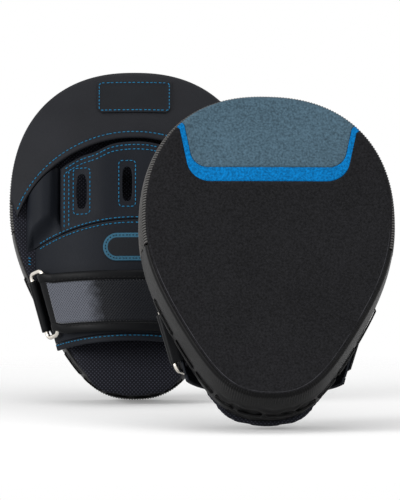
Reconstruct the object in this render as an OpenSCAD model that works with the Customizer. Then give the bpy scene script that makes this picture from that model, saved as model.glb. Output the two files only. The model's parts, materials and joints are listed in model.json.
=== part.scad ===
// Pair of curved focus mitts, in mm, +Z up. The front mitt (left hand) turns its striking
// face to -Y. The rear mitt (right hand) is its mirror image and turns its glove to -Y.
// Every piece is laid out flat as x (across), y (depth, + towards the glove) and s (length
// along the pad's back, 0 at half length), then bent about an axis on the face's side.

/* [Pad] */
// Width at the widest line
pad_w = 195; // [150:1:240]
// Length along the back from the widest line to the top
pad_up = 105; // [90:1:130]
// Length along the back from the widest line to the heel
pad_down = 151; // [130:1:180]
// Thickness at the top
pad_thick_top = 36; // [28:1:50]
// Thickness at the heel
pad_thick_heel = 56; // [40:1:70]
// Angle that the pad is bent through over its length
pad_bend = 6; // [3:1:20]
// Roundness of the upper outline, 2 is an ellipse
top_power = 2.3; // [2:0.05:3]
// Roundness of the lower outline, 2 is an ellipse
low_power = 2.5; // [2:0.05:3.2]
// Share of the width that the heel loses
heel_taper = 0.3; // [0:0.01:0.45]
// Thickness of the cover leather
cover_t = 1.8; // [1:0.1:3]
// Radius of the rounded face edge
face_edge_r = 7; // [4:0.5:10]
// Depth of the cover's turned edge, from the face
face_lip = 8.5; // [8:0.5:14]
// Clearance between layers that are sewn or glued together
layer_gap = 0.3; // [0.2:0.05:0.5]
// Share of the thickness, from the back, where the impact foam starts
impact_share = 0.62; // [0.5:0.01:0.75]
// Share of the thickness, from the back, where the core foam starts
core_share = 0.28; // [0.15:0.01:0.4]

/* [Face accent] */
// Distance of the grey panel's lower edge from the top
accent_drop = 60; // [40:1:80]
// Half width of the grey panel at its lower edge
accent_half = 58; // [35:1:66]
// Widening of the grey panel for each mm upwards
accent_flare = 0.2; // [0:0.01:0.5]
// Corner radius of the grey panel
accent_r = 14; // [3:1:16]
// Width of the blue border at the sides
border_side = 4.5; // [2:0.5:8]
// Width of the blue border at the lower edge
border_low = 12; // [4:0.5:20]

/* [Gusset and lace] */
// Angle below the widest line where woven and leather gusset meet
gusset_seam = 5; // [0:1:20]
// Outward bulge of the gusset
gusset_bulge = 1.4; // [0:0.1:3]
// Number of lace stitches round the heel
lace_count = 10; // [6:1:14]
// Angle below the widest line where the lace starts
lace_start = 17; // [8:1:40]
// Width of the lace
lace_w = 4; // [2:0.5:6]
// Thickness of the lace
lace_t = 1.5; // [1:0.1:2.5]
// Share of each lace pitch that a stitch covers
lace_cover = 0.82; // [0.5:0.02:0.9]
// Place of the lace in the thickness, from the back
lace_share = 0.3; // [0.2:0.01:0.5]

/* [Back of the pad] */
// Thickness of the perforated back panel
back_t = 1.6; // [1:0.1:3]
// Height of the heel cushion
heel_rise = 10; // [4:0.5:16]
// Overhang of the heel cushion past the pad's heel
heel_over = 3; // [0:0.5:6]
// Radius of the palm ball
palm_r = 26; // [18:1:34]
// Height of the palm ball above the back
palm_h = 12; // [6:1:16]

/* [Glove] */
// Thickness of the glove leather
glove_t = 2; // [1.2:0.1:3]
// Half width of the glove at the top of the strap
glove_half = 79; // [60:1:90]
// Narrowing of the cuff for each mm towards the wrist
cuff_taper = 0.3; // [0.1:0.01:0.32]
// Height of the glove over the back at the wrist
glove_h = 42; // [34:1:52]
// Lowering of the glove for each mm towards the fingers
glove_fall = 0.13; // [0.05:0.01:0.18]
// Distance of the hood's hem from the top, at the middle
hood_drop = 56; // [46:1:62]
// Height of the arch that the hood's hem makes
hood_arch = 86; // [76:1:96]
// Height of the hood's hem over the back
hood_rise = 24; // [16:1:30]
// Width of the hem band
hem_w = 4.5; // [3:0.5:7]
// Distance of the knuckle panel's free edge from the top
knuckle_drop = 60; // [57:1:68]
// Distance of the knuckle panel's free edge from the middle, on the thumb's side
knuckle_edge = 58; // [50:1:62]
// Length coordinate of the seam between knuckle and hand panel
seam_s = 5; // [0:1:10]
// Radius of that arched seam
seam_r = 174; // [150:1:240]
// Width of a vent slot
slot_w = 7; // [5:0.5:9]
// Length of a vent slot
slot_l = 28; // [20:1:32]
// Spacing of the vent slots
slot_pitch = 36; // [28:1:38]
// Length coordinate of the middle vent slot
slot_s = 34; // [30:1:38]
// Drop of the outer vent slots below the middle one
slot_drop = 5; // [0:0.5:6]
// Shift of the vent slots towards the thumb's side
slot_shift = 5.5; // [0:0.5:8]
// Drop of the knuckle panel's free edge for each square mm from the middle
knuckle_arch = 0.006; // [0:0.001:0.01]
// Half width of the thumb sleeve
thumb_half = 14; // [11:0.5:15]
// Height of the thumb sleeve at its lower end
thumb_h = 24; // [18:1:26]
// Length coordinate of the thumb sleeve's upper end
thumb_s = 50; // [40:1:54]
// Width of the label patch
label_w = 59; // [40:1:66]
// Length of the label patch
label_l = 28; // [16:1:32]
// Distance of the label patch from the top
label_drop = 8; // [7:1:14]
// Cut of the label patch's lower corners
label_cut = 4; // [1:0.5:8]
// Length of the oval patch across the hand
oval_w = 49; // [36:1:60]
// Width of the oval patch
oval_l = 22; // [16:1:26]
// Length coordinate of the oval patch's middle
oval_s = -17; // [-22:1:-12]

/* [Wrist strap] */
// Width of the strap
strap_w = 46; // [38:1:47]
// Distance of the strap's middle from the heel
strap_rise = 68; // [67:0.5:72]
// Thickness of the strap webbing
strap_t = 1.6; // [1:0.1:2.4]
// Thickness of the loop patch
loop_t = 1.8; // [1:0.1:2.4]
// Thickness of the hook patch
hook_t = 1.6; // [1:0.1:2.4]
// Reach of the strap flap past the middle of the wrist
flap_reach = 38; // [20:1:46]
// Distance of the cuff's lower edge from the heel
cuff_rise = 43.5; // [36:0.5:44]
// Width of the cuff's hem
cuff_hem_w = 6; // [4:0.5:9]
// Drop of the cuff's hem for each square mm from the middle
cuff_arch = 0.0012; // [0:0.0001:0.002]
// Thickness of the cuff lining
lining_t = 2.3; // [1.5:0.1:4]

/* [Ring] */
// Radius of the ring's wire
wire_r = 1.75; // [1.2:0.05:2.5]
// Clear length inside the ring
ring_l = 49; // [48:0.5:56]
// Distance between the two long bars
ring_w = 15; // [12:0.5:20]
// Bend radius of the ring's corners
ring_r = 4; // [3:0.5:6]
// Distance of the inner bar from the cuff's foot
ring_foot = 3; // [2.5:0.5:6]
// Length of the tab along the inner bar
tab_l = 41; // [34:1:46]
// Reach of the tab under the cuff
tab_reach = 16; // [10:1:22]
// Running clearance of webbing round a bar
bar_gap = 0.3; // [0.2:0.05:0.5]

/* [Pair] */
// Backward lean of the front mitt
front_lean = 22; // [0:1:30]
// Backward lean of the rear mitt
rear_lean = 12; // [0:1:30]
// Turn of the front mitt about the vertical, which shows its thumb's side
front_turn = 4; // [-15:1:15]
// Sideways place of the rear mitt
rear_x = -102; // [-240:1:-60]
// Free space between the two wrist straps
pair_gap = 150; // [100:1:240]

/* [Hidden] */
PIECES = ["striking_face", "accent_border", "accent_panel", "impact_foam", "core_foam",
    "back_foam", "upper_gusset", "lower_gusset", "edge_lace", "back_panel", "heel_cushion",
    "palm_ball", "finger_hood", "hood_hem", "label_patch", "knuckle_panel", "hand_panel",
    "oval_patch", "thumb_sleeve", "wrist_cuff", "cuff_lining", "cuff_hem", "ring_tab", "ring",
    "wrist_strap", "loop_patch", "strap_flap", "hook_patch"];

// Points round the outline, and round the sides of the rim
rim_n = 40;
pad_len = pad_up + pad_down;
s_top = pad_len / 2;
s_wide = s_top - pad_up;
bend_r = pad_len / (pad_bend * PI / 180);
hood_s = s_top - hood_drop;
knuckle_s = s_top - knuckle_drop;
strap_s = strap_rise - s_top;
cuff_s = cuff_rise - s_top;
// Layers over the cuff's outer face, from the inside outwards
strap_d = layer_gap;
loop_d = strap_d + strap_t + layer_gap;
hook_d = loop_d + loop_t + layer_gap;
flap_d = hook_d + hook_t + layer_gap;
bar_d = flap_d - wire_r;
strap_lo = strap_s - strap_w / 2;
strap_hi = strap_s + strap_w / 2;
glove_hi_s = strap_hi - 1;
stack_h = glove_h + flap_d + strap_t;
rear_y = 2 * stack_h + pair_gap;
// Distance of the layers inside the pad from its outline
fill_in = cover_t + 4 * layer_gap;
thumb_x = knuckle_edge + thumb_half - 1;

black = [0.13, 0.13, 0.14];
leather = [0.18, 0.18, 0.2];
grey = [0.32, 0.4, 0.46];
blue = [0.02, 0.44, 0.7];
woven = [0.43, 0.42, 0.41];
foam = [0.55, 0.55, 0.52];
mesh = [0.1, 0.11, 0.14];
steel = [0.75, 0.76, 0.78];

// Flat layout and bending
function mix(a, b, t) = a + (b - a) * t;
function deg(length, radius) = length / radius * 180 / PI;
function thick(s) = mix(pad_thick_heel, pad_thick_top, (s + s_top) / pad_len);
function turn(s) = deg(s, bend_r);
function bend(p) = [p[0], (bend_r + p[1]) * cos(turn(p[2])) - bend_r, (bend_r + p[1]) * sin(turn(p[2]))];
// Height of a point on the middle line once its mitt stands, side is 1 for the front mitt and -1
// for its mirror image
function leaned_z(p, side) = side > 0
    ? p[2] * cos(front_lean) - p[1] * cos(front_turn) * sin(front_lean)
    : p[2] * cos(rear_lean) + p[1] * sin(rear_lean);
heel_edges = concat([bend([0, layer_gap + 1.5 + heel_rise * sin(25), -s_top - heel_over])],
    [for (y = [0, -pad_thick_heel / 2, face_edge_r - 2 - pad_thick_heel]) bend([0, y, -s_top])]);
rear_z = min([for (p = heel_edges) leaned_z(p, 1)]) - min([for (p = heel_edges) leaned_z(p, -1)]);

// Point of the outline at an angle, 0 at +X on the widest line and 90 at the top
function outline(a) = let (c = cos(a), n = sin(a))
    n >= 0
    ? [sign(c) * pad_w / 2 * pow(abs(c), 2 / top_power), s_wide + pad_up * pow(n, 2 / top_power)]
    : let (v = pow(-n, 2 / low_power))
      [sign(c) * pad_w / 2 * pow(abs(c), 2 / low_power) * (1 - heel_taper * pow(sin(90 * v), 2)),
       s_wide - pad_down * v];
function outward(a) = let (t = outline(a + 0.5) - outline(a - 0.5)) [t[1], -t[0]] / norm(t);
function rim(a, grow) = outline(a) + grow * outward(a);
// Half width of the outline at a length coordinate
function half_w(s) = s >= s_wide
    ? pad_w / 2 * pow(max(0, 1 - pow((s - s_wide) / pad_up, top_power)), 1 / top_power)
    : let (v = min(1, (s_wide - s) / pad_down))
      pad_w / 2 * pow(1 - pow(v, low_power), 1 / low_power) * (1 - heel_taper * pow(sin(90 * v), 2));

// Ring of bent points at a share of the thickness (0 back, 1 face), grown and shifted
function ring_at(share, shift, grow) = [for (i = [0 : rim_n - 1])
    let (p = rim(90 + 360 * i / rim_n, grow)) bend([p[0], shift - share * thick(p[1]), p[1]])];

// Solid from rings that follow each other from the back towards the face
module stack(rings) {
    n = len(rings[0]);
    m = len(rings);
    last = (m - 1) * n;
    side = [for (k = [0 : m - 2]) for (i = [0 : n - 1]) let (j = (i + 1) % n)
        each [[k * n + i, k * n + n + i, k * n + n + j], [k * n + i, k * n + n + j, k * n + j]]];
    back = [for (i = [0 : n / 2 - 1])
        each concat(i > 0 ? [[i, i + 1, n - i]] : [],
            i < n / 2 - 1 ? [[(n - i) % n, i + 1, n - i - 1]] : [])];
    front = [for (f = back) [last + f[0], last + f[2], last + f[1]]];
    polyhedron([for (r = rings) each r], concat(side, back, front));
}

// Solid between an outer and an inner grid of points, rows of the same length
module sheet(outer, inner) {
    m = len(outer);
    n = len(outer[0]);
    k = m * n;
    top = [for (i = [0 : m - 2]) for (j = [0 : n - 2]) let (a = i * n + j)
        each [[a, a + 1, a + n + 1], [a, a + n + 1, a + n]]];
    under = [for (f = top) [k + f[0], k + f[2], k + f[1]]];
    low = [for (j = [0 : n - 2]) each [[j, k + j, k + j + 1], [j, k + j + 1, j + 1]]];
    high = [for (j = [0 : n - 2]) let (a = k - n + j) each [[a, k + a + 1, k + a], [a, a + 1, k + a + 1]]];
    left = [for (i = [0 : m - 2]) let (a = i * n) each [[a, k + a + n, k + a], [a, a + n, k + a + n]]];
    right = [for (i = [0 : m - 2]) let (a = i * n + n - 1)
        each [[a, k + a, k + a + n], [a, k + a + n, a + n]]];
    polyhedron(concat([for (r = outer) each r], [for (r = inner) each r]),
        concat(top, under, low, high, left, right));
}

// Arched glove: at each length coordinate a circle's arc of half width wid() and height hi()
function wid(s) = glove_half + (s < glove_hi_s ? cuff_taper : 0.03) * (s - glove_hi_s);
function hi(s) = glove_h - max(0, s - glove_hi_s) * glove_fall;
function arc_r(s) = (wid(s) * wid(s) + hi(s) * hi(s)) / (2 * hi(s));
// Angle from the arch's crown where a face offset by d comes down to the height y
function foot(s, d, y) = acos((arc_r(s) - hi(s) + y) / (arc_r(s) + d));
function arch(a, s, d) = [(arc_r(s) + d) * sin(a), (arc_r(s) + d) * cos(a) + hi(s) - arc_r(s), s];
// Angle of the arch at a distance x from the middle
function arch_at(x, s) = asin(x / arc_r(s));

// Part of the arch between two offsets, with its low and high edges as functions of x and its
// left and right edges as angles at s
module arched(d0, d1, cols, rows, lo, hi_edge, left, right) {
    function spot(i, j, d) = let (t = j / cols, v = i / rows, s0 = mix(lo(0), hi_edge(0), v),
        x = arch(mix(left(s0), right(s0), t), s0, 0)[0], s = mix(lo(x), hi_edge(x), v))
        bend(arch(mix(left(s), right(s), t), s, d));
    sheet([for (i = [0 : rows]) [for (j = [0 : cols]) spot(i, j, d1)]],
        [for (i = [0 : rows]) [for (j = [0 : cols]) spot(i, j, d0)]]);
}

// Striking face and its accent
module face_shell() {
    stack([ring_at(1, cover_t, -face_edge_r - 0.6), ring_at(1, face_edge_r, -cover_t),
        ring_at(1, face_lip, -cover_t), ring_at(1, face_lip, 0), ring_at(1, face_edge_r - 2, 0),
        ring_at(1, 1.5, -1.8), ring_at(1, 0, -face_edge_r)]);
}

// Accent outline in the plane of x and s, grown by side and low
function accent(side, low, r) = let (s0 = s_top - accent_drop - low,
        w = accent_half + side - accent_flare * low, s1 = s_top + 20, w1 = w + accent_flare * (s1 - s0),
        cx = w + accent_flare * r - r * sqrt(1 + accent_flare * accent_flare),
        corner = [for (k = [0 : 6]) let (a = -90 + k * (90 - atan(accent_flare)) / 6)
            [cx + r * cos(a), s0 + r + r * sin(a)]])
    concat([for (k = [6 : -1 : 0]) [-corner[k][0], corner[k][1]]], corner, [[w1, s1], [-w1, s1]]);

module accent_prism(side, low, r) {
    translate([0, 10, 0]) rotate([90, 0, 0])
        linear_extrude(height = pad_thick_heel + 60) polygon(accent(side, low, r));
}

module striking_face() {
    color(black) difference() {
        face_shell();
        accent_prism(border_side + layer_gap, border_low + layer_gap, accent_r + border_side);
    }
}

module accent_border() {
    color(blue) difference() {
        intersection() {
            face_shell();
            accent_prism(border_side, border_low, accent_r + border_side);
        }
        accent_prism(layer_gap, layer_gap, accent_r);
    }
}

module accent_panel() {
    color(grey) intersection() {
        face_shell();
        accent_prism(0, 0, accent_r);
    }
}

// Foam layers
module impact_foam() {
    color(foam) stack([ring_at(impact_share, -layer_gap, -fill_in),
        ring_at(1, face_edge_r + layer_gap, -fill_in), ring_at(1, cover_t + layer_gap, -face_edge_r - 1.6)]);
}

module core_foam() {
    color(foam) stack([ring_at(core_share, -layer_gap, -fill_in), ring_at(impact_share, 0, -fill_in)]);
}

module back_foam() {
    color(foam) stack([ring_at(0, -back_t - layer_gap, -fill_in), ring_at(core_share, 0, -fill_in)]);
}

// Gusset: rows run from the face's turned edge to the back
function bulge(share) = gusset_bulge * sin(180 * share);
function gusset_spot(a, share, shift, grow) = let (p = rim(a, grow))
    bend([p[0], shift - share * thick(p[1]), p[1]]);

module gusset(from, to, cols) {
    rows = [[1, face_lip + layer_gap, 0], [0.65, 0, bulge(0.65)], [0.3, 0, bulge(0.3)], [0, 0, 0]];
    sheet([for (r = rows) [for (j = [0 : cols]) gusset_spot(mix(from, to, j / cols), r[0], r[1], r[2])]],
        [for (r = rows) [for (j = [0 : cols]) gusset_spot(mix(from, to, j / cols), r[0], r[1], -cover_t)]]);
}

module upper_gusset() {
    color(woven) gusset(-gusset_seam, 180 + gusset_seam, 22);
}

module lower_gusset() {
    seam = deg(layer_gap, pad_w / 2) * 2.5;
    color(leather) gusset(180 + gusset_seam + seam, 360 - gusset_seam - seam, 20);
}

module edge_lace() {
    pitch = (180 - 2 * lace_start) / lace_count;
    grow = bulge(lace_share) + layer_gap;
    color(black) for (k = [0 : lace_count - 1]) {
        a0 = 180 + lace_start + k * pitch;
        turns = [for (j = [0 : 3]) a0 + pitch * lace_cover * j / 3];
        sheet([for (y = [-0.5, 0.5]) [for (a = turns) gusset_spot(a, lace_share, y * lace_w, grow + lace_t)]],
            [for (y = [-0.5, 0.5]) [for (a = turns) gusset_spot(a, lace_share, y * lace_w, grow)]]);
    }
}

// Back of the pad
module back_panel() {
    color(mesh) stack([ring_at(0, 0, -fill_in), ring_at(0, -back_t, -fill_in)]);
}

module heel_cushion() {
    lo = -s_top - heel_over;
    high = cuff_s - 1;
    function spot(i, j) = let (v = i / 5, t = mix(-1, 1, j / 10), s = mix(lo, high, v),
        x = t * max(1, half_w(s * s_top / (s_top + heel_over)) + mix(heel_over, -5, v)))
        [x, layer_gap + 1.5 + heel_rise * sqrt(max(0, 1 - t * t)) * sin(25 + 135 * v), s];
    color(mesh) sheet([for (i = [0 : 5]) [for (j = [0 : 10]) bend(spot(i, j))]],
        [for (i = [0 : 5]) [for (j = [0 : 10]) let (p = spot(i, j)) bend([p[0], layer_gap, p[2]])]]);
}

module palm_ball() {
    color(foam) translate([0, layer_gap, 0]) difference() {
        translate([0, palm_h - palm_r, 0]) sphere(r = palm_r, $fn = 36);
        translate([-palm_r, -2 * palm_r, -palm_r]) cube(2 * palm_r);
    }
}

// Hood over the finger tips
function hem_s(x) = hood_s - hood_arch * (1 - sqrt(max(0, 1 - pow(2 * x / (pad_w - 1), 2))));
function hood_y(x, s) = let (w = max(1, half_w(s)), v = max(0, (s - hood_s) / (s_top - hood_s)))
    layer_gap + glove_t + hood_rise * max(0, 1 - pow(x / w, 2)) * (1 - v * v);
hood_x = pad_w / 2 - 5;
// Angle of the outline where the hood's sides end
hood_a = asin(pow(max(0, (hem_s(hood_x) + 8 - s_wide) / pad_up), top_power / 2));

module hood_strip(v0, v1, rows, lift, t) {
    function spot(i, j) = let (q = j / 18, x = -hood_x * cos(180 * q), e = [x, hem_s(x)],
        o = rim(mix(180 - hood_a, hood_a, q), -1.2), l = max(1, norm(o - e)),
        v = mix(v0[0] + v0[1] / l, v1[0] + v1[1] / l, i / rows)) mix(e, o, v);
    sheet([for (i = [0 : rows]) [for (j = [0 : 18]) let (p = spot(i, j))
            bend([p[0], hood_y(p[0], p[1]) + lift, p[1]])]],
        [for (i = [0 : rows]) [for (j = [0 : 18]) let (p = spot(i, j))
            bend([p[0], hood_y(p[0], p[1]) + lift - t, p[1]])]]);
}

module finger_hood() {
    color(leather) hood_strip([0, 0], [1, 0], 5, 0, glove_t);
}

module hood_hem() {
    color(black) hood_strip([0, 0.2], [0, 0.2 + hem_w], 1, layer_gap + 1, 1);
}

module label_patch() {
    s0 = s_top - label_drop - label_l;
    function spot(i, j) = let (v = i / 3, w = label_w / 2 - max(0, label_cut - v * label_l))
        [mix(-w, w, j / 6), s0 + v * label_l];
    function grid(lift) = [for (i = [0 : 3]) [for (j = [0 : 6])
        let (p = spot(i, j)) bend([p[0], hood_y(p[0], p[1]) + lift, p[1]])]];
    color(black) sheet(grid(1.6), grid(0.6));
}

// Knuckle panel, hand panel and thumb sleeve
function seam_at(x) = seam_s - seam_r + sqrt(seam_r * seam_r - x * x);

module knuckle_panel() {
    color(leather) difference() {
        arched(-glove_t, 0, 12, 4, function (x) seam_at(x) + 2 * layer_gap,
            function (x) knuckle_s - knuckle_arch * x * x, function (s) -arch_at(knuckle_edge, s),
            function (s) foot(s, -glove_t, layer_gap));
        for (k = [-1 : 1])
            translate([k * slot_pitch - slot_shift, 0, slot_s - slot_drop * abs(k)]) rotate([-90, 0, 0])
                linear_extrude(height = glove_h) {
                    square([slot_w, slot_l - slot_w], center = true);
                    for (e = [-1, 1]) translate([0, e * (slot_l - slot_w) / 2]) circle(d = slot_w, $fn = 24);
                }
    }
}

module hand_panel() {
    color(leather) arched(-glove_t, 0, 14, 3, function (x) glove_hi_s + layer_gap, function (x) seam_at(x),
        function (s) -foot(s, -glove_t, layer_gap), function (s) foot(s, -glove_t, layer_gap));
}

module oval_patch() {
    function spot(i, j, d) = let (v = mix(-1, 1, i / 4),
        w = oval_w / 2 - oval_l / 2 * (1 - sqrt(max(0, 1 - 0.98 * v * v))),
        s = oval_s + v * oval_l / 2) bend(arch(arch_at(mix(-w, w, j / 6), s), s, d));
    color(black) sheet([for (i = [0 : 4]) [for (j = [0 : 6]) spot(i, j, layer_gap + 1)]],
        [for (i = [0 : 4]) [for (j = [0 : 6]) spot(i, j, layer_gap + 0.2)]]);
}

module thumb_sleeve() {
    function spot(i, j, t) = let (v = i / 3, a = mix(0, 180, j / 10),
        x = -thumb_x - (thumb_half - t) * cos(a),
        s = mix(seam_at(thumb_x) + 5, min(thumb_s, hem_s(x) - 2), v))
        bend([x, layer_gap + (mix(thumb_h, 0.62 * thumb_h, v) - t) * sin(a), s]);
    color(leather) sheet([for (i = [0 : 3]) [for (j = [0 : 10]) spot(i, j, 0)]],
        [for (i = [0 : 3]) [for (j = [0 : 10]) spot(i, j, glove_t)]]);
}

// Cuff
tab_top = layer_gap + strap_t;

module wrist_cuff() {
    color(leather) arched(-glove_t, 0, 14, 3, function (x) cuff_s, function (x) glove_hi_s,
        function (s) -foot(s, -glove_t, tab_top + layer_gap), function (s) foot(s, -glove_t, layer_gap));
}

module cuff_lining() {
    d = -glove_t - layer_gap;
    color(mesh) arched(d - lining_t, d, 14, 2, function (x) cuff_s + 2, function (x) glove_hi_s - 2,
        function (s) -foot(s, d - lining_t, tab_top + layer_gap),
        function (s) foot(s, d - lining_t, layer_gap));
}

module cuff_hem() {
    color(black) arched(-glove_t - 0.5, 0.5, 14, 1, function (x) cuff_s - cuff_hem_w - cuff_arch * x * x,
        function (x) cuff_s - layer_gap - cuff_arch * x * x,
        function (s) -foot(s, -glove_t - 0.5, tab_top + layer_gap),
        function (s) foot(s, -glove_t - 0.5, layer_gap));
}

// Ring frame: origin on the inner bar, x towards the outer bar, z along the bars
function bar_spot(s, run) = arch(-foot(s, 0, 0) + deg(run, arc_r(s) + bar_d), s, bar_d);
bar_low = bar_spot(strap_lo, ring_foot);
bar_high = bar_spot(strap_hi, ring_foot);
bar_mid = (bar_low + bar_high) / 2;
ring_tilt = atan((bar_low[0] - bar_high[0]) / strap_w);
ring_dir = bar_spot(strap_s, ring_foot + ring_w) - bar_spot(strap_s, ring_foot);
// The ring stands up a little, which keeps the strap's fold clear of the cuff
ring_lie = atan2(ring_dir[1], ring_dir[0]) + 2.5;
ring_turn = turn(strap_s);
ring_home = bend(bar_mid);
function rot2(a, b, w) = [a * cos(w) - b * sin(w), a * sin(w) + b * cos(w)];
// Point of the ring frame in the mitt's frame
function from_ring(p) = let (u = rot2(p[0], p[1], ring_lie), v = rot2(p[2], u[0], -ring_tilt),
        w = rot2(u[1], v[0], ring_turn)) ring_home + [v[1], w[0], w[1]];

module in_ring_frame() {
    translate(ring_home) rotate([ring_turn, 0, 0]) rotate([0, -ring_tilt, 0]) children();
}

module ring_tab() {
    color(black) in_ring_frame() translate([0, 0, -tab_l / 2]) linear_extrude(height = tab_l) difference() {
        union() {
            circle(r = wire_r + bar_gap + strap_t, $fn = 48);
            translate([0, layer_gap - bar_mid[1]]) square([tab_reach, strap_t]);
        }
        circle(r = wire_r + bar_gap, $fn = 48);
    }
}

module ring() {
    half = ring_l / 2 + wire_r;
    color(steel) in_ring_frame() rotate([0, 0, ring_lie]) {
        for (x = [0, ring_w])
            translate([x, 0, -half + ring_r]) cylinder(r = wire_r, h = 2 * (half - ring_r), $fn = 24);
        for (z = [-half, half])
            translate([ring_r, 0, z]) rotate([0, 90, 0])
                cylinder(r = wire_r, h = ring_w - 2 * ring_r, $fn = 24);
        for (x = [0, 1], z = [0, 1])
            translate([x == 0 ? ring_r : ring_w - ring_r, 0, z == 0 ? -half + ring_r : half - ring_r])
                mirror([x, 0, 0]) mirror([0, 0, z]) rotate([90, 0, 0]) rotate([0, 0, 180])
                    rotate_extrude(angle = 90, $fn = 32) translate([ring_r, 0]) circle(r = wire_r, $fn = 24);
    }
}

// Strap: the sewn layer, the loop patch on it, and the flap that folds back round the ring
function past_bar(s, run) = -foot(s, 0, 0) + deg(ring_foot + ring_w + run, arc_r(s) + bar_d);

module wrist_strap() {
    color(black) arched(strap_d, strap_d + strap_t, 16, 2, function (x) strap_lo, function (x) strap_hi,
        function (s) past_bar(s, wire_r + strap_t + 1.5), function (s) foot(s, strap_d, layer_gap));
}

module loop_patch() {
    color(woven) arched(loop_d, loop_d + loop_t, 14, 2, function (x) strap_lo + 3, function (x) strap_hi - 3,
        function (s) past_bar(s, wire_r + strap_t + 4), function (s) arch_at(flap_reach + 8, s));
}

module hook_patch() {
    color(black) arched(hook_d, hook_d + hook_t, 12, 2, function (x) strap_lo + 4, function (x) strap_hi - 4,
        function (s) past_bar(s, 24), function (s) arch_at(flap_reach - 3, s));
}

module strap_flap() {
    fold = [250, 225, 200, 175, 150, 120, 90];
    function folded(z, r) = [for (a = fold) from_ring([ring_w + r * cos(a), r * sin(a), z])];
    function laid(s, d) = [for (j = [1 : 14])
        bend(arch(mix(past_bar(s, 0), arch_at(flap_reach, s), j / 14), s, d))];
    rows = [[-strap_w / 2, strap_lo], [0, strap_s], [strap_w / 2, strap_hi]];
    r0 = wire_r + bar_gap;
    color(black) sheet([for (r = rows) concat(folded(r[0], r0 + strap_t), laid(r[1], flap_d + strap_t))],
        [for (r = rows) concat(folded(r[0], r0), laid(r[1], flap_d))]);
}

// One mitt's piece by name
module piece(name) {
    if (name == "striking_face") striking_face();
    if (name == "accent_border") accent_border();
    if (name == "accent_panel") accent_panel();
    if (name == "impact_foam") impact_foam();
    if (name == "core_foam") core_foam();
    if (name == "back_foam") back_foam();
    if (name == "upper_gusset") upper_gusset();
    if (name == "lower_gusset") lower_gusset();
    if (name == "edge_lace") edge_lace();
    if (name == "back_panel") back_panel();
    if (name == "heel_cushion") heel_cushion();
    if (name == "palm_ball") palm_ball();
    if (name == "finger_hood") finger_hood();
    if (name == "hood_hem") hood_hem();
    if (name == "label_patch") label_patch();
    if (name == "knuckle_panel") knuckle_panel();
    if (name == "hand_panel") hand_panel();
    if (name == "oval_patch") oval_patch();
    if (name == "thumb_sleeve") thumb_sleeve();
    if (name == "wrist_cuff") wrist_cuff();
    if (name == "cuff_lining") cuff_lining();
    if (name == "cuff_hem") cuff_hem();
    if (name == "ring_tab") ring_tab();
    if (name == "ring") ring();
    if (name == "wrist_strap") wrist_strap();
    if (name == "loop_patch") loop_patch();
    if (name == "strap_flap") strap_flap();
    if (name == "hook_patch") hook_patch();
}

module front_mitt(name) {
    rotate([-front_lean, 0, 0]) rotate([0, 0, front_turn]) piece(name);
}

module rear_mitt(name) {
    translate([rear_x, rear_y, rear_z]) rotate([-rear_lean, 0, 0]) mirror([0, 1, 0]) piece(name);
}

for (name = PIECES) {
    front_mitt(name);
    rear_mitt(name);
}
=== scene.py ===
"""Looks of a pair of curved focus mitts: leather, woven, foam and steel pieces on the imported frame."""

import bisect
import itertools
import json
import logging
import math
from dataclasses import dataclass
from enum import Enum
from typing import Callable, Optional, Sequence

import bmesh
import bpy
from mathutils import Matrix, Vector

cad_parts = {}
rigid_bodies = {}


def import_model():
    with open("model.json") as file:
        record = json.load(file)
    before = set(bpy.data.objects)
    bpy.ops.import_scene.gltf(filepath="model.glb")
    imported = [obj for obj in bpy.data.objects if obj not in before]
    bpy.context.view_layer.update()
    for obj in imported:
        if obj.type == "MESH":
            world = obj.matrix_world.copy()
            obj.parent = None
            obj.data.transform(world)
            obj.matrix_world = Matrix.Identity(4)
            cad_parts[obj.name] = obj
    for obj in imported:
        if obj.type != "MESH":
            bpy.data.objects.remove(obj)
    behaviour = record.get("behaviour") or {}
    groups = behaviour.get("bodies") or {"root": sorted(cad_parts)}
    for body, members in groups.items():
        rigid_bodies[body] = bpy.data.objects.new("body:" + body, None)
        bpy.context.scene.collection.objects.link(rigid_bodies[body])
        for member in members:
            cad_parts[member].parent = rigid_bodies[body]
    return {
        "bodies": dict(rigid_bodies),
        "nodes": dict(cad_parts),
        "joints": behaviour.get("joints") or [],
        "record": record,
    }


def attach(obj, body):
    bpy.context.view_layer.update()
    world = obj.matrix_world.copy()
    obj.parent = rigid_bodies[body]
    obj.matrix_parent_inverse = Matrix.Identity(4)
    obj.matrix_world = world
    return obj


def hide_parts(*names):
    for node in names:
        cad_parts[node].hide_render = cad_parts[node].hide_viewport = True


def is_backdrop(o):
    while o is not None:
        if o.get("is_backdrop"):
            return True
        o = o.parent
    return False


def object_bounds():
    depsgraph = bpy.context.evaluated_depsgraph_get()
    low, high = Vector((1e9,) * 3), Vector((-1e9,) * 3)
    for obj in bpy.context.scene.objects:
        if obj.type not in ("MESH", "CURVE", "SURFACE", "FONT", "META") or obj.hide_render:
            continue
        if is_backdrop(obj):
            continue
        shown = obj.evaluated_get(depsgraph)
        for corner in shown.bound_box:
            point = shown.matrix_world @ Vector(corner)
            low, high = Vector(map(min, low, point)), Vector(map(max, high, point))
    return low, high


log = logging.getLogger("focus_mitts")
MM = 0.001
CLOTH_MAP = "cloth"
SHARE = "share"
Pair = tuple[float, float]
Triple = tuple[float, float, float]
Color = tuple[float, float, float, float]
Edge = Callable[[float], float]
Height = Callable[[float, float], float]
Spot = Callable[[float, float], Vector]
Cloth = Callable[[float, float], Pair]
BMesh = bmesh.types.BMesh
Socket = bpy.types.NodeSocket


class Side(Enum):
    """The two mitts of the pair."""

    FRONT = "front"
    REAR = "rear"


class Body(Enum):
    """The moving bodies of one mitt."""

    MITT = "mitt"
    FLAP = "flap"


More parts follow.
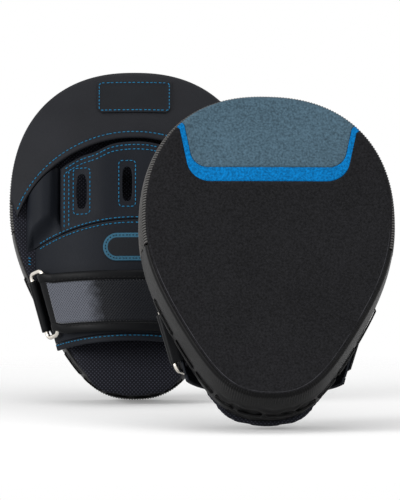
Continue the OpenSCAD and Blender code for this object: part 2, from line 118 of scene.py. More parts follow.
class Slot(Enum):
    """The record's material slots."""

    FACE = "face_leather"
    GLOVE = "glove_leather"
    GREY = "grey_leather"
    BLUE = "blue_leather"
    WOVEN = "woven_gusset"
    PERFORATED = "perforated_back"
    FOAM = "foam"
    LACE = "lace"
    BINDING = "binding"
    LINING = "lining"
    WEBBING = "webbing"
    LOOP = "loop_pile"
    HOOK = "hook_pile"


def mix(a: float, b: float, t: float) -> float:
    """Value at the share t between a and b."""
    return a + (b - a) * t


def smooth(t: float) -> float:
    """Soft step from 0 to 1."""
    t = min(1.0, max(0.0, t))
    return t * t * (3 - 2 * t)


def steps(start: float, end: float, count: int) -> list[float]:
    """Even values from start to end, with both ends."""
    return [mix(start, end, i / count) for i in range(count + 1)]


def on_circle(r: float, degrees: float) -> Pair:
    """Point of a circle at an angle."""
    return r * math.cos(math.radians(degrees)), r * math.sin(math.radians(degrees))


def srgb(*channels: int) -> Color:
    """Linear colour of a display colour.

    Args:
        channels: red, green and blue from 0 to 255.

    Returns:
        Linear red, green, blue and an alpha of 1.
    """
    shares = [c / 255 for c in channels]
    red, green, blue = [v / 12.92 if v <= 0.04045 else ((v + 0.055) / 1.055) ** 2.4 for v in shares]
    return red, green, blue, 1.0


def scaled(color: Color, by: float) -> Color:
    """A colour made lighter or darker."""
    return color[0] * by, color[1] * by, color[2] * by, 1.0


def to_face(_: Vector) -> Vector:
    """Direction that the striking face looks in."""
    return Vector((0, -1, 0))


def over_hand(p: Vector) -> Vector:
    """Direction away from the pad's back, over the hand."""
    return Vector((p.x * 0.01, 1.0, 0.0))


def link(name: str, data: bpy.types.ID) -> bpy.types.Object:
    """Puts an object with that data into the scene.

    Args:
        name: name of the object.
        data: its mesh, camera or lamp.

    Returns:
        The new object.
    """
    obj = bpy.data.objects.new(name, data)
    bpy.context.scene.collection.objects.link(obj)
    return obj


def aim(obj: bpy.types.Object, along: Vector) -> None:
    """Turns a camera or lamp to look along a direction."""
    obj.rotation_euler = along.to_track_quat("-Z", "Y").to_euler()


def spent(bm: BMesh, name: str) -> bpy.types.Mesh:
    """Mesh made of a bmesh.

    Args:
        bm: the bmesh, which is freed.
        name: the mesh's name.

    Returns:
        The mesh.
    """
    mesh = bpy.data.meshes.new(name)
    bm.to_mesh(mesh)
    bm.free()
    return mesh


class Run:
    """A line of points that is read by its share of length."""

    def __init__(self, points: Sequence[Sequence[float]]) -> None:
        """Measures the line along its first two values.

        Args:
            points: the line's points; further values are interpolated with them.
        """
        self.points = [tuple(p) for p in points]
        pairs = zip(self.points, self.points[1:])
        self.reach = [0.0, *itertools.accumulate(math.hypot(q[0] - p[0], q[1] - p[1]) for p, q in pairs)]

    @classmethod
    def over(cls, edge: Edge, start: float, end: float) -> "Run":
        """Line of an edge from one x to another."""
        return cls([(x, edge(x)) for x in steps(start, end, 60)])

    @property
    def length(self) -> float:
        """Length of the line."""
        return self.reach[-1]

    def at(self, share: float) -> tuple[float, ...]:
        """Point at a share of the length.

        Args:
            share: 0 at the first point and 1 at the last.

        Returns:
            The interpolated values.
        """
        want = min(1.0, max(0.0, share)) * self.length
        k = min(max(1, bisect.bisect_left(self.reach, want)), len(self.reach) - 1)
        span = self.reach[k] - self.reach[k - 1]
        t = 0.0 if span < 1e-9 else (want - self.reach[k - 1]) / span
        return tuple(mix(a, b, t) for a, b in zip(self.points[k - 1], self.points[k]))


@dataclass(frozen=True)
class PadForm:
    """Outline, thickness and bend of the pad, in mm, in the flat layout of x, depth y and length s."""

    width: float = 195.0
    up: float = 105.0
    down: float = 151.0
    thick_top: float = 36.0
    thick_heel: float = 56.0
    bend_angle: float = 6.0
    top_power: float = 2.3
    low_power: float = 2.5
    heel_taper: float = 0.3

    @property
    def top(self) -> float:
        """Length coordinate of the pad's top."""
        return (self.up + self.down) / 2

    @property
    def widest(self) -> float:
        """Length coordinate of the widest line."""
        return self.top - self.up

    @property
    def bend_r(self) -> float:
        """Radius that the pad's back is bent to."""
        return 2 * self.top / math.radians(self.bend_angle)

    def thick(self, s: float) -> float:
        """Thickness at a length coordinate."""
        return mix(self.thick_heel, self.thick_top, (s + self.top) / (2 * self.top))

    def bend(self, x: float, y: float, s: float) -> Vector:
        """Bent place of a flat point."""
        a, r = s / self.bend_r, self.bend_r + y
        return Vector((x, r * math.cos(a) - self.bend_r, r * math.sin(a)))

    def unbend(self, p: Vector) -> Vector:
        """Flat point of a bent place."""
        a = math.atan2(p.z, self.bend_r + p.y)
        return Vector((p.x, math.hypot(self.bend_r + p.y, p.z) - self.bend_r, a * self.bend_r))

    def outline(self, angle: float) -> Pair:
        """Point of the outline.

        Args:
            angle: 0 degrees at +X on the widest line, 90 at the top.

        Returns:
            Flat x and s.
        """
        c, n = on_circle(1.0, angle)
        power = 2 / (self.top_power if n >= 0 else self.low_power)
        x, v = self.width / 2 * abs(c) ** power, abs(n) ** power
        if n >= 0:
            return math.copysign(x, c), self.widest + self.up * v
        return math.copysign(x * self.taper(v), c), self.widest - self.down * v

    def taper(self, v: float) -> float:
        """Narrowing towards the heel at a share of the lower length."""
        return 1 - self.heel_taper * math.sin(math.pi / 2 * v) ** 2

    def rim(self, angle: float, grow: float) -> Pair:
        """Point of the outline moved outwards.

        Args:
            angle: its angle on the outline, in degrees.
            grow: how far it is moved.

        Returns:
            Flat x and s.
        """
        (x0, s0), (x1, s1) = self.outline(angle - 0.5), self.outline(angle + 0.5)
        size = math.hypot(x1 - x0, s1 - s0)
        x, s = self.outline(angle)
        return x + grow * (s1 - s0) / size, s - grow * (x1 - x0) / size

    def rim_run(self, start: float, end: float, grow: float, count: int = 240) -> Run:
        """Stretch of the outline whose points also hold their angle."""
        return Run([(*self.rim(a, grow), a) for a in steps(start, end, count)])

    def half_w(self, s: float) -> float:
        """Half width of the outline.

        Args:
            s: length coordinate.

        Returns:
            The distance from the middle to the outline.
        """
        upper = s >= self.widest
        power = self.top_power if upper else self.low_power
        v = min(1.0, (s - self.widest) / self.up if upper else (self.widest - s) / self.down)
        half = self.width / 2 * (1 - v**power) ** (1 / power)
        return half if upper else half * self.taper(v)


@dataclass(frozen=True)
class GloveForm:
    """Arched glove on the back of the pad, in mm."""

    wall: float = 2.0
    half: float = 79.0
    cuff_taper: float = 0.3
    hand_taper: float = 0.03
    height: float = 42.0
    fall: float = 0.13
    strap_s: float = -60.0
    strap_w: float = 46.0
    hood_s: float = 72.0
    hood_arch: float = 86.0
    hood_rise: float = 24.0
    hem_w: float = 4.5
    gap: float = 0.3

    @property
    def split(self) -> float:
        """Length coordinate where the cuff and the hand panel meet."""
        return self.strap_s + self.strap_w / 2 - 1

    def wid(self, s: float) -> float:
        """Half width of the arch."""
        return self.half + (self.cuff_taper if s < self.split else self.hand_taper) * (s - self.split)

    def hi(self, s: float) -> float:
        """Height of the arch."""
        return self.height - max(0.0, s - self.split) * self.fall

    def arc_r(self, s: float) -> float:
        """Radius of the arch."""
        return (self.wid(s) ** 2 + self.hi(s) ** 2) / (2 * self.hi(s))

    def foot(self, s: float, d: float, y: float) -> float:
        """Angle in degrees from the crown where the face offset by d is y high."""
        return math.degrees(math.acos((self.arc_r(s) - self.hi(s) + y) / (self.arc_r(s) + d)))

    def arch(self, angle: float, s: float, d: float) -> Triple:
        """Flat point of the arch at an angle from its crown."""
        r, a = self.arc_r(s) + d, math.radians(angle)
        return r * math.sin(a), r * math.cos(a) + self.hi(s) - self.arc_r(s), s

    def arch_at(self, x: float, s: float) -> float:
        """Angle of the arch at a distance x from the middle."""
        return math.degrees(math.asin(x / self.arc_r(s)))

    def over(self, x: float, s: float, d: float) -> float:
        """Height of the arch's face, offset by d, over the pad's back."""
        r = self.arc_r(s) + d
        return math.sqrt(max(0.0, r * r - x * x)) + self.hi(s) - self.arc_r(s)


class Graph:
    """The node tree of a material or world, written with short calls."""

    def __init__(self, owner: bpy.types.Material | bpy.types.World) -> None:
        """Starts from the owner's one shader.

        Args:
            owner: a new material or world.
        """
        owner.use_nodes = True
        self.tree = owner.node_tree
        self.shader = next(n for n in self.tree.nodes if n.type in ("BSDF_PRINCIPLED", "BACKGROUND"))

    def set(self, **values: object) -> None:
        """Sets sockets of the shader by name, with _ for a space."""
        for name, value in values.items():
            self.shader.inputs[name.replace("_", " ")].default_value = value

    def feed(self, name: str, socket: Socket) -> None:
        """Links a socket to the shader's input of that name."""
        self.tree.links.new(socket, self.shader.inputs[name])

    def node(self, kind: str, settings: Optional[dict] = None, **links: object) -> bpy.types.Node:
        """Adds a node.

        Args:
            kind: the node type after ShaderNode.
            settings: properties of the node.
            links: inputs by name, with _ for a space, or by in0, in1 for their place; sockets or values.

        Returns:
            The new node.
        """
        made = self.tree.nodes.new("ShaderNode" + kind)
        for name, value in (settings or {}).items():
            setattr(made, name, value)
        for name, value in links.items():
            key = int(name[2:]) if name[:2] == "in" and name[2:].isdigit() else name.replace("_", " ")
            if isinstance(value, Socket):
                self.tree.links.new(value, made.inputs[key])
            else:
                made.inputs[key].default_value = value
        return made

    def place(self) -> Socket:
        """Object coordinates, in metres."""
        return self.node("TexCoord").outputs["Object"]

    def shares(self) -> Sequence[Socket]:
        """A panel's shares across and along."""
        spot = self.node("Attribute", {"attribute_name": SHARE}).outputs["Vector"]
        return self.node("SeparateXYZ", Vector=spot).outputs

    def cloth(self, turn: float, pitch_mm: float) -> Socket:
        """Coordinates on the cloth, in units of pitch, turned by an angle in degrees.

        Args:
            turn: angle in degrees.
            pitch_mm: unit of the coordinates.

        Returns:
            The turned coordinates.
        """
        uv = self.node("UVMap", {"uv_map": CLOTH_MAP}).outputs[0]
        size, spin = 1 / (pitch_mm * MM), (0, 0, math.radians(turn))
        return self.node("Mapping", Vector=uv, Rotation=spin, Scale=(size, size, 1)).outputs[0]

    def noise(self, vector: Socket, size_mm: float, detail: float = 3.0) -> Socket:
        """Noise of about that size."""
        return self.node("TexNoise", Vector=vector, Scale=1 / (size_mm * MM), Detail=detail).outputs[0]

    def math(self, operation: str, a: object, b: object = 0.0) -> Socket:
        """One operation on two values."""
        return self.node("Math", {"operation": operation}, in0=a, in1=b).outputs[0]

    def vector(self, operation: str, **links: object) -> bpy.types.Node:
        """One operation on vectors."""
        return self.node("VectorMath", {"operation": operation}, **links)

    def add(self, a: Socket, weight_a: float, b: Socket, weight_b: float) -> Socket:
        """Sum of two weighted values."""
        return self.math("ADD", self.math("MULTIPLY", a, weight_a), self.math("MULTIPLY", b, weight_b))

    def off(self, value: Socket, middle: float) -> Socket:
        """Distance of a value from a middle."""
        return self.math("ABSOLUTE", self.math("SUBTRACT", value, middle))

    def between(self, value: Socket, low: float, high: float, to: Pair = (0.0, 1.0)) -> Socket:
        """Value stretched from low..high to another range, held at its ends."""
        return self.node("MapRange", in0=value, in1=low, in2=high, in3=to[0], in4=to[1]).outputs[0]

    def blend(self, share: Socket, a: object, b: object) -> Socket:
        """Colour between a and b."""
        return self.node("Mix", {"data_type": "RGBA"}, in0=share, in6=a, in7=b).outputs[2]

    def tones(self, share: Socket, color: Color, low: float, high: float) -> Socket:
        """Colour between two tones of one colour."""
        return self.blend(share, scaled(color, low), scaled(color, high))

    def bump(self, height: Socket, depth_mm: float, strength: float = 1.0) -> None:
        """Raises the surface by a height of 0 to 1."""
        made = self.node("Bump", Height=height, Distance=depth_mm * MM, Strength=strength)
        self.feed("Normal", made.outputs[0])

    def dots(self, pitch_mm: float, radius: float) -> Socket:
        """Rows of round dots, each row set off by half a pitch.

        Args:
            pitch_mm: distance from dot to dot.
            radius: a dot's radius as a share of the pitch.

        Returns:
            1 inside a dot.
        """
        soft = 0.08
        part = self.vector("FRACTION", in0=self.cloth(45.0, pitch_mm)).outputs[0]
        apart = self.vector("SUBTRACT", in0=part, in1=(0.5, 0.5, 0.0)).outputs[0]
        flat = self.vector("MULTIPLY", in0=apart, in1=(1.0, 1.0, 0.0)).outputs[0]
        far = self.vector("LENGTH", in0=flat).outputs["Value"]
        return self.between(far, radius + soft, radius - soft)

    def bands(self, turn: float, pitch_mm: float) -> Socket:
        """Even bands across the cloth, 0 to 1 over each pitch."""
        along = self.node("SeparateXYZ", Vector=self.cloth(turn, pitch_mm)).outputs[0]
        return self.between(self.math("SINE", self.math("MULTIPLY", along, 2 * math.pi)), -1.0, 1.0)


@dataclass(frozen=True)
class Finish:
    """A surface finish; material() makes its material once."""

    name: str
    color: Color
    roughness: float = 0.6
    specular: float = 0.25

    def material(self) -> bpy.types.Material:
        """The finish's material, made on first use.

        Returns:
            The material.
        """
        found = bpy.data.materials.get(self.name)
        if not found:
            found = bpy.data.materials.new(self.name)
            graph = Graph(found)
            graph.set(Roughness=self.roughness, Specular_IOR_Level=self.specular)
            self.dress(graph)
        return found

    def dress(self, graph: Graph) -> None:
        """Adds the finish's own nodes."""
        graph.set(Base_Color=self.color)


@dataclass(frozen=True)
class LeatherFinish(Finish):
    """Grained leather with soft patches and a little wear."""

    grain_mm: float = 1.1
    depth_mm: float = 0.12
    patch: float = 0.14
    patch_mm: float = 34.0

    def dress(self, graph: Graph) -> None:
        """Grain from cells and noise, colour from wide patches and fine specks.

        Args:
            graph: the material's graph.
        """
        place = graph.place()
        scale = 1 / (self.grain_mm * MM)
        cells = graph.node("TexVoronoi", {"feature": "SMOOTH_F1"}, Vector=place, Scale=scale)
        fine = graph.noise(place, self.grain_mm * 0.6, 4.0)
        grain = graph.add(cells.outputs["Distance"], 0.7, fine, 0.5)
        share = graph.between(graph.add(graph.noise(place, self.patch_mm, 2.0), 0.6, fine, 0.4), 0.35, 0.65)
        graph.feed("Base Color", graph.tones(share, self.color, 1 - self.patch, 1 + self.patch))
        gloss = self.roughness - 0.05, self.roughness + 0.08
        graph.feed("Roughness", graph.between(grain, 0.2, 0.9, gloss))
        graph.bump(grain, self.depth_mm)


@dataclass(frozen=True)
class ClothFaceFinish(Finish):
    """Fine matt cloth-grained leather of the striking face."""

    thread_mm: float = 1.3
    speck_mm: float = 1.6
    patch_mm: float = 45.0
    mottle: float = 0.38
    crease: float = -1.0
    wear_and_highlight: float = 7.0

    def dress(self, graph: Graph) -> None:
        """A fine cross weave with specks, and a lighter line on the crease at that share of the panel, partly
        wear and partly a painted highlight of the edge.

        Args:
            graph: the material's graph.
        """
        weave = graph.math("ADD", graph.bands(0.0, self.thread_mm), graph.bands(90.0, self.thread_mm))
        place = graph.place()
        speck = graph.noise(place, self.speck_mm, 4.0)
        cloud = graph.noise(place, self.patch_mm, 2.0)
        share = graph.between(graph.add(speck, 0.85, cloud, 0.15), 0.34, 0.66)
        ground = graph.tones(share, self.color, 1 - self.mottle, 1 + self.mottle)
        # lighter line along the lower crease of the face: partly wear, partly a painted highlight where the
        # edge catches the light
        if self.crease > 0:
            shares = graph.shares()
            line = graph.between(graph.off(shares[1], self.crease), 0.016, 0.004)
            patchy = graph.between(graph.noise(place, 26.0, 5.0), 0.36, 0.52)
            middle = graph.between(graph.off(shares[0], 0.5), 0.36, 0.29)
            highlit_and_worn = graph.math("MULTIPLY", graph.math("MULTIPLY", line, patchy), middle)
            ground = graph.blend(highlit_and_worn, ground, scaled(self.color, self.wear_and_highlight))
        graph.feed("Base Color", ground)
        graph.set(Sheen_Weight=0.03, Sheen_Roughness=0.5)
        graph.bump(graph.add(weave, 0.4, speck, 1.0), 0.12, 0.7)


@dataclass(frozen=True)
class RibFinish(Finish):
    """Slanted ribs of a woven strip."""

    pitch_mm: float = 2.2
    turn: float = 9.0
    dark: float = 0.14

    def dress(self, graph: Graph) -> None:
        """Ribs with dark grooves and cross threads.

        Args:
            graph: the material's graph.
        """
        rib = graph.bands(self.turn, self.pitch_mm)
        cross = graph.bands(self.turn + 90, self.pitch_mm * 0.45)
        tone = graph.add(rib, 0.8, graph.noise(graph.place(), 1.2), 0.3)
        # painted shade: between the ribs the tone falls to the dark share of the colour, standing in for
        # shade in the grooves
        graph.feed("Base Color", graph.tones(graph.between(tone, 0.25, 0.85), self.color, self.dark, 1.15))
        graph.bump(graph.add(rib, 0.5, cross, 0.3), 0.4)


@dataclass(frozen=True)
class DottedFinish(Finish):
    """Cloth with rows of small dots, raised or sunk."""

    pitch_mm: float = 2.1
    radius: float = 0.26
    dot: Color = (0.1, 0.1, 0.1, 1.0)
    depth_mm: float = 0.25

    def dress(self, graph: Graph) -> None:
        """Dots in another tone, and a fine cloth ground.

        Args:
            graph: the material's graph.
        """
        dots = graph.dots(self.pitch_mm, self.radius)
        fleck = graph.noise(graph.place(), 0.9)
        ground = graph.tones(graph.between(fleck, 0.3, 0.7), self.color, 0.8, 1.2)
        graph.feed("Base Color", graph.blend(dots, ground, self.dot))
        graph.bump(graph.add(dots, 1.0, fleck, 0.25), self.depth_mm)


@dataclass(frozen=True)
class LoopFinish(Finish):
    """Shiny woven loop band: fine zigzag rows, with a painted sheen in lighter tones at its first end."""

    pitch_mm: float = 1.7
    slant: float = 38.0
    painted_sheen: Color = (0.1, 0.1, 0.1, 1.0)
    painted_sheen_end: float = 0.36
    painted_sheen_fade: float = 0.12

    def dress(self, graph: Graph) -> None:
        """Two sets of slanted threads over each other, and a painted sheen at the band's first end.

        Args:
            graph: the material's graph.
        """
        threads = [graph.bands(turn, self.pitch_mm) for turn in (self.slant, -self.slant)]
        weave = graph.math("MAXIMUM", *threads)
        light = graph.between(graph.add(weave, 0.7, graph.noise(graph.place(), 1.0), 0.35), 0.3, 0.95)
        # painted sheen: towards its first end the band turns to lighter tones of a second colour, standing in
        # for the lamp's sheen on the strap
        uneven = graph.add(graph.shares()[0], 1.0, graph.noise(graph.place(), 5.0), self.painted_sheen_fade)
        painted_sheen_mask = graph.between(uneven, self.painted_sheen_end + self.painted_sheen_fade, self.painted_sheen_end)
        laid, raised = graph.tones(light, self.color, 0.35, 1.3), graph.tones(light, self.painted_sheen, 0.5, 1.2)
        graph.feed("Base Color", graph.blend(painted_sheen_mask, laid, raised))
        graph.set(Sheen_Weight=0.4, Sheen_Roughness=0.28)
        graph.bump(weave, 0.3)


@dataclass(frozen=True)
class WebbingFinish(Finish):
    """Plain woven webbing."""

    pitch_mm: float = 1.5

    def dress(self, graph: Graph) -> None:
        """Warp and weft.

        Args:
            graph: the material's graph.
        """
        weave = graph.math("MULTIPLY", *[graph.bands(turn, self.pitch_mm) for turn in (0.0, 90.0)])
        graph.feed("Base Color", graph.tones(weave, self.color, 0.7, 1.25))
        graph.bump(weave, 0.25)


@dataclass(frozen=True)
class ThreadFinish(Finish):
    """Twisted sewing thread."""

    def dress(self, graph: Graph) -> None:
        """A twist of fine light and dark.

        Args:
            graph: the material's graph.
        """
        twist = graph.noise(graph.place(), 0.7, 2.0)
        graph.feed("Base Color", graph.tones(graph.between(twist, 0.35, 0.65), self.color, 0.65, 1.2))
        graph.bump(twist, 0.1)


@dataclass(frozen=True)
class FoamFinish(Finish):
    """Closed-cell foam."""

    cell_mm: float = 1.4

    def dress(self, graph: Graph) -> None:
        """Small cells.

        Args:
            graph: the material's graph.
        """
        scale = 1 / (self.cell_mm * MM)
        cells = graph.node("TexVoronoi", Vector=graph.place(), Scale=scale).outputs["Distance"]
        graph.feed("Base Color", graph.tones(cells, self.color, 0.8, 1.1))
        graph.bump(cells, 0.3)


@dataclass(frozen=True)
class SteelFinish(Finish):
    """Nickel-plated wire with fine scratches."""

    def dress(self, graph: Graph) -> None:
        """Metal whose gloss varies along the wire.

        Args:
            graph: the material's graph.
        """
        scratch = graph.noise(graph.place(), 1.5, 5.0)
        graph.set(Metallic=1.0)
        graph.feed("Base Color", graph.tones(scratch, self.color, 0.88, 1.05))
        gloss = self.roughness - 0.07, self.roughness + 0.1
        graph.feed("Roughness", graph.between(scratch, 0.3, 0.7, gloss))
        graph.bump(scratch, 0.02)


class Finishes:
    """Every finish of the mitts."""

    FACE = ClothFaceFinish("face_cloth_leather", srgb(27, 27, 29), 0.8, 0.08, mottle=0.52, crease=0.115)
    GREY = ClothFaceFinish("grey_cloth_leather", srgb(73, 96, 110), 0.75, 0.08)
    BLUE = ClothFaceFinish("blue_cloth_leather", srgb(2, 112, 178), 0.7, 0.06)
    GLOVE = LeatherFinish("glove_leather_grain", srgb(22, 25, 31), 0.55, 0.11)
    HOOD = LeatherFinish("hood_leather_grain", srgb(30, 31, 35), 0.62, 0.14)
    # the lower gusset's leather: glove leather made much darker than GLOVE, painted shade standing in for the
    # shadow on the pad's lower walls
    SHADED_WALL = LeatherFinish("wall_leather_grain", srgb(14, 14, 15), 0.42, 0.09, depth_mm=0.08)
    BINDING = LeatherFinish("binding_leather_grain", srgb(13, 14, 16), 0.42, 0.09, depth_mm=0.06)
    LACE = LeatherFinish("lace_leather_grain", srgb(11, 11, 12), 0.5, 0.12, depth_mm=0.05)
    PATCH = LeatherFinish("patch_leather_grain", srgb(25, 27, 31), 0.6, 0.12, grain_mm=0.8)
    TRIM = LeatherFinish("patch_trim_leather", srgb(50, 95, 118), 0.6, 0.15, grain_mm=0.8)
    WOVEN = RibFinish("woven_ribs", srgb(94, 93, 92), 0.8, 0.06)
    DOTTED = DottedFinish("dotted_cloth", srgb(19, 20, 27), 0.75, 0.15, dot=srgb(58, 60, 70))
    MESH = DottedFinish("lining_mesh", srgb(22, 22, 26), 0.85, 0.1, 1.6, dot=srgb(8, 8, 9), depth_mm=-0.2)
    # LOOP: its second, lighter colour is a painted sheen at the band's first end
    LOOP = LoopFinish("strap_loop_band", srgb(20, 22, 27), 0.34, 0.12, painted_sheen=srgb(92, 95, 104))
    WEBBING = WebbingFinish("strap_webbing", srgb(24, 25, 28), 0.6, 0.15)
    HOOK = DottedFinish("hook_pile", srgb(18, 18, 20), 0.5, 0.2, 1.4, dot=srgb(40, 40, 44))
    BLUE_THREAD = ThreadFinish("blue_thread", srgb(34, 122, 166), 0.6, 0.12)
    DARK_THREAD = ThreadFinish("dark_thread", srgb(13, 13, 14), 0.55, 0.15)
    FOAM = FoamFinish("closed_cell_foam", srgb(150, 150, 145), 0.9, 0.1)
    STEEL = SteelFinish("ring_nickel", srgb(228, 222, 212), 0.24, 0.5)


@dataclass(frozen=True)
class Piece:
    """How a made mesh becomes a piece on each mitt; sizes in mm."""

    name: str
    slot: Slot
    finish: Finish
    nodes: tuple[str, ...] = ()
    body: Body = Body.MITT
    wall: float = 0.0
    edge: float = 0.0
    levels: int = 0
    fill: Optional[float] = None


@dataclass
class Workshop:
    """Cuts, bends and sews pieces in a mitt's own frame, in mm, and puts each on both mitts."""

    pad: PadForm
    glove: GloveForm
    places: dict[Side, tuple[Matrix, bool]]

    def cut(self, cols: int, rows: int, spot: Spot, cloth: Optional[Cloth] = None) -> BMesh:
        """Cuts a panel from a grid and lays it where spot says.

        Args:
            cols: faces across.
            rows: faces along.
            spot: place of the shares across and along, in the mitt's frame.
            cloth: place on the cloth; without it, the flat layout's x and s.

        Returns:
            The panel, with its cloth map.
        """
        bm = bmesh.new()
        bmesh.ops.create_grid(bm, x_segments=cols, y_segments=rows, size=1.0)
        share = bm.verts.layers.float_vector.new(SHARE)
        for v in bm.verts:
            u, t = v.co.x * 0.5 + 0.5, v.co.y * 0.5 + 0.5
            v[share] = Vector((u, t, 0.0))
            v.co = spot(u, t)
        self.map_cloth(bm, cloth)
        return bm

    def map_cloth(self, bm: BMesh, cloth: Optional[Cloth] = None) -> None:
        """Writes the cloth map in metres.

        Args:
            bm: the panel.
            cloth: place on the cloth from the shares; without it, the flat layout's x and s.
        """
        layer = bm.loops.layers.uv.get(CLOTH_MAP) or bm.loops.layers.uv.new(CLOTH_MAP)
        share = bm.verts.layers.float_vector.get(SHARE)
        for loop in itertools.chain.from_iterable(face.loops for face in bm.faces):
            if cloth and share:
                x, s = cloth(loop.vert[share].x, loop.vert[share].y)
            else:
                x, _, s = self.pad.unbend(loop.vert.co)
            loop[layer].uv = (x * MM, s * MM)

    @staticmethod
    def face_out(bm: BMesh, out: Callable[[Vector], Vector]) -> None:
        """Turns all faces so that they look along out, taken at their middle.

        Args:
            bm: mesh to turn.
            out: outward direction at a place.
        """
        bm.normal_update()
        if sum(f.normal.dot(out(f.calc_center_median())) * f.calc_area() for f in bm.faces) < 0:
            bmesh.ops.reverse_faces(bm, faces=bm.faces[:])

    @staticmethod
    def merge(bm: BMesh) -> None:
        """Merges corners that fall together."""
        bmesh.ops.remove_doubles(bm, verts=bm.verts[:], dist=0.02)
        bmesh.ops.dissolve_degenerate(bm, edges=bm.edges[:], dist=0.01)

    @staticmethod
    def even_normals(bm: BMesh) -> None:
        """Turns all faces of a closed mesh outwards."""
        bmesh.ops.recalc_face_normals(bm, faces=bm.faces[:])

    @staticmethod
    def extruded(bm: BMesh) -> list[bmesh.types.BMVert]:
        """Extrudes all faces where they are, and gives the new corners."""
        made = bmesh.ops.extrude_face_region(bm, geom=bm.faces[:])["geom"]
        return [v for v in made if isinstance(v, bmesh.types.BMVert)]

    def thicken(self, bm: BMesh, under: Spot) -> None:
        """Closes a panel to a solid.

        Args:
            bm: the panel.
            under: place of the other face from the shares.
        """
        share = bm.verts.layers.float_vector[SHARE]
        for v in self.extruded(bm):
            v.co = under(v[share].x, v[share].y)
        self.merge(bm)
        self.even_normals(bm)

    @staticmethod
    def joined(parts: Sequence[BMesh]) -> BMesh:
        """The first mesh with all others added to it.

        Args:
            parts: meshes to join.

        Returns:
            The joined mesh.
        """
        for part in parts[1:]:
            parts[0].from_mesh(spent(part, "part"))
        return parts[0]

    def panel(self, piece: Piece, cols: int, rows: int, spot: Spot, cloth: Optional[Cloth] = None,
              out: Callable[[Vector], Vector] = over_hand, merge: bool = False) -> None:
        """Cuts a panel, turns it outwards and puts it on both mitts.

        Args:
            piece: what it becomes.
            cols: faces across.
            rows: faces along.
            spot: place of the shares across and along.
            cloth: place on the cloth.
            out: direction that its outer face looks in.
            merge: whether corners fall together.
        """
        bm = self.cut(cols, rows, spot, cloth)
        if merge:
            self.merge(bm)
        self.face_out(bm, out)
        self.put(bm, piece)

    def put(self, bm: BMesh, piece: Piece) -> None:
        """Puts a made mesh on both mitts.

        Args:
            bm: the mesh in the mitt's frame; it is freed.
            piece: what it becomes.
        """
        for side, (place, mirrored) in self.places.items():
            mesh = bpy.data.meshes.new(f"{side.value}_{piece.name}")
            bm.to_mesh(mesh)
            mesh.transform(place @ Matrix.Scale(MM, 4))
            if mirrored:
                mesh.flip_normals()
            mesh.polygons.foreach_set("use_smooth", [True] * len(mesh.polygons))
            mesh.materials.append(piece.finish.material())
            self.seat(mesh, side, piece)
        log.info("%s: %d faces", piece.name, len(bm.faces))
        bm.free()

    @staticmethod
    def seat(mesh: bpy.types.Mesh, side: Side, piece: Piece) -> None:
        """Makes one mitt's object from its mesh, hangs it on its body and hides the frame's parts that it
        stands for.

        Args:
            mesh: the piece's mesh in the frame.
            side: the mitt.
            piece: what it is.
        """
        obj = link(f"{side.value}_{piece.name}", mesh)
        if piece.wall:
            solid = obj.modifiers.new("wall", "SOLIDIFY")
            solid.thickness, solid.offset, solid.use_even_offset = piece.wall * MM, -1.0, False
        if piece.edge:
            bevel = obj.modifiers.new("edge", "BEVEL")
            bevel.width, bevel.segments, bevel.profile = piece.edge * MM, 2, 0.5
            bevel.limit_method, bevel.angle_limit = "ANGLE", math.radians(50)
        if piece.levels:
            round_off = obj.modifiers.new("round", "SUBSURF")
            round_off.levels = round_off.render_levels = piece.levels
        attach(obj, f"{side.value}_{piece.body.value}")
        if piece.nodes:
            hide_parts(*[f"{side.value}_{n}" for n in piece.nodes])

    def sew(self, runs: Sequence[tuple[Run, Height]], pitch: float = 3.4, length: float = 2.5,
            width: float = 0.85, high: float = 0.65) -> BMesh:
        """Sews stitches along lines on curved panels.

        Args:
            runs: each line in the flat layout, with the panel's height over the pad's back.
            pitch: distance from stitch to stitch.
            length: length of a stitch.
            width: width of the thread.
            high: height of the thread.

        Returns:
            All stitches as one mesh.
        """
        bm, parts = bmesh.new(), 200
        for run, height in runs:
            def lifted(x: float, s: float, height: Height = height) -> Vector:
                """Bent place on the panel."""
                return self.pad.bend(x, height(x, s), s)

            dense = [run.at(i / parts)[:2] for i in range(parts + 1)]
            line = [lifted(x, s) for x, s in dense]
            reach = [0.0, *itertools.accumulate((q - p).length for p, q in zip(line, line[1:]))]
            count = max(1, int(reach[-1] / pitch))
            for k in range(count):
                j = min(parts - 1, bisect.bisect_left(reach, (k + 0.5) * reach[-1] / count, 1))
                x, s = dense[j]
                along = (line[j + 1] - line[j - 1]).normalized()
                step_x = lifted(x + 0.5, s) - lifted(x - 0.5, s)
                step_s = lifted(x, s + 0.5) - lifted(x, s - 0.5)
                up = step_s.cross(step_x).normalized()
                across = up.cross(along).normalized()
                basis = Matrix((across * width / 2, up * high / 2, along * length / 2)).transposed().to_4x4()
                place = Matrix.Translation(line[j] + up * high * 0.15) @ basis
                bmesh.ops.create_uvsphere(bm, u_segments=6, v_segments=4, radius=1.0, matrix=place)
        self.even_normals(bm)
        return bm

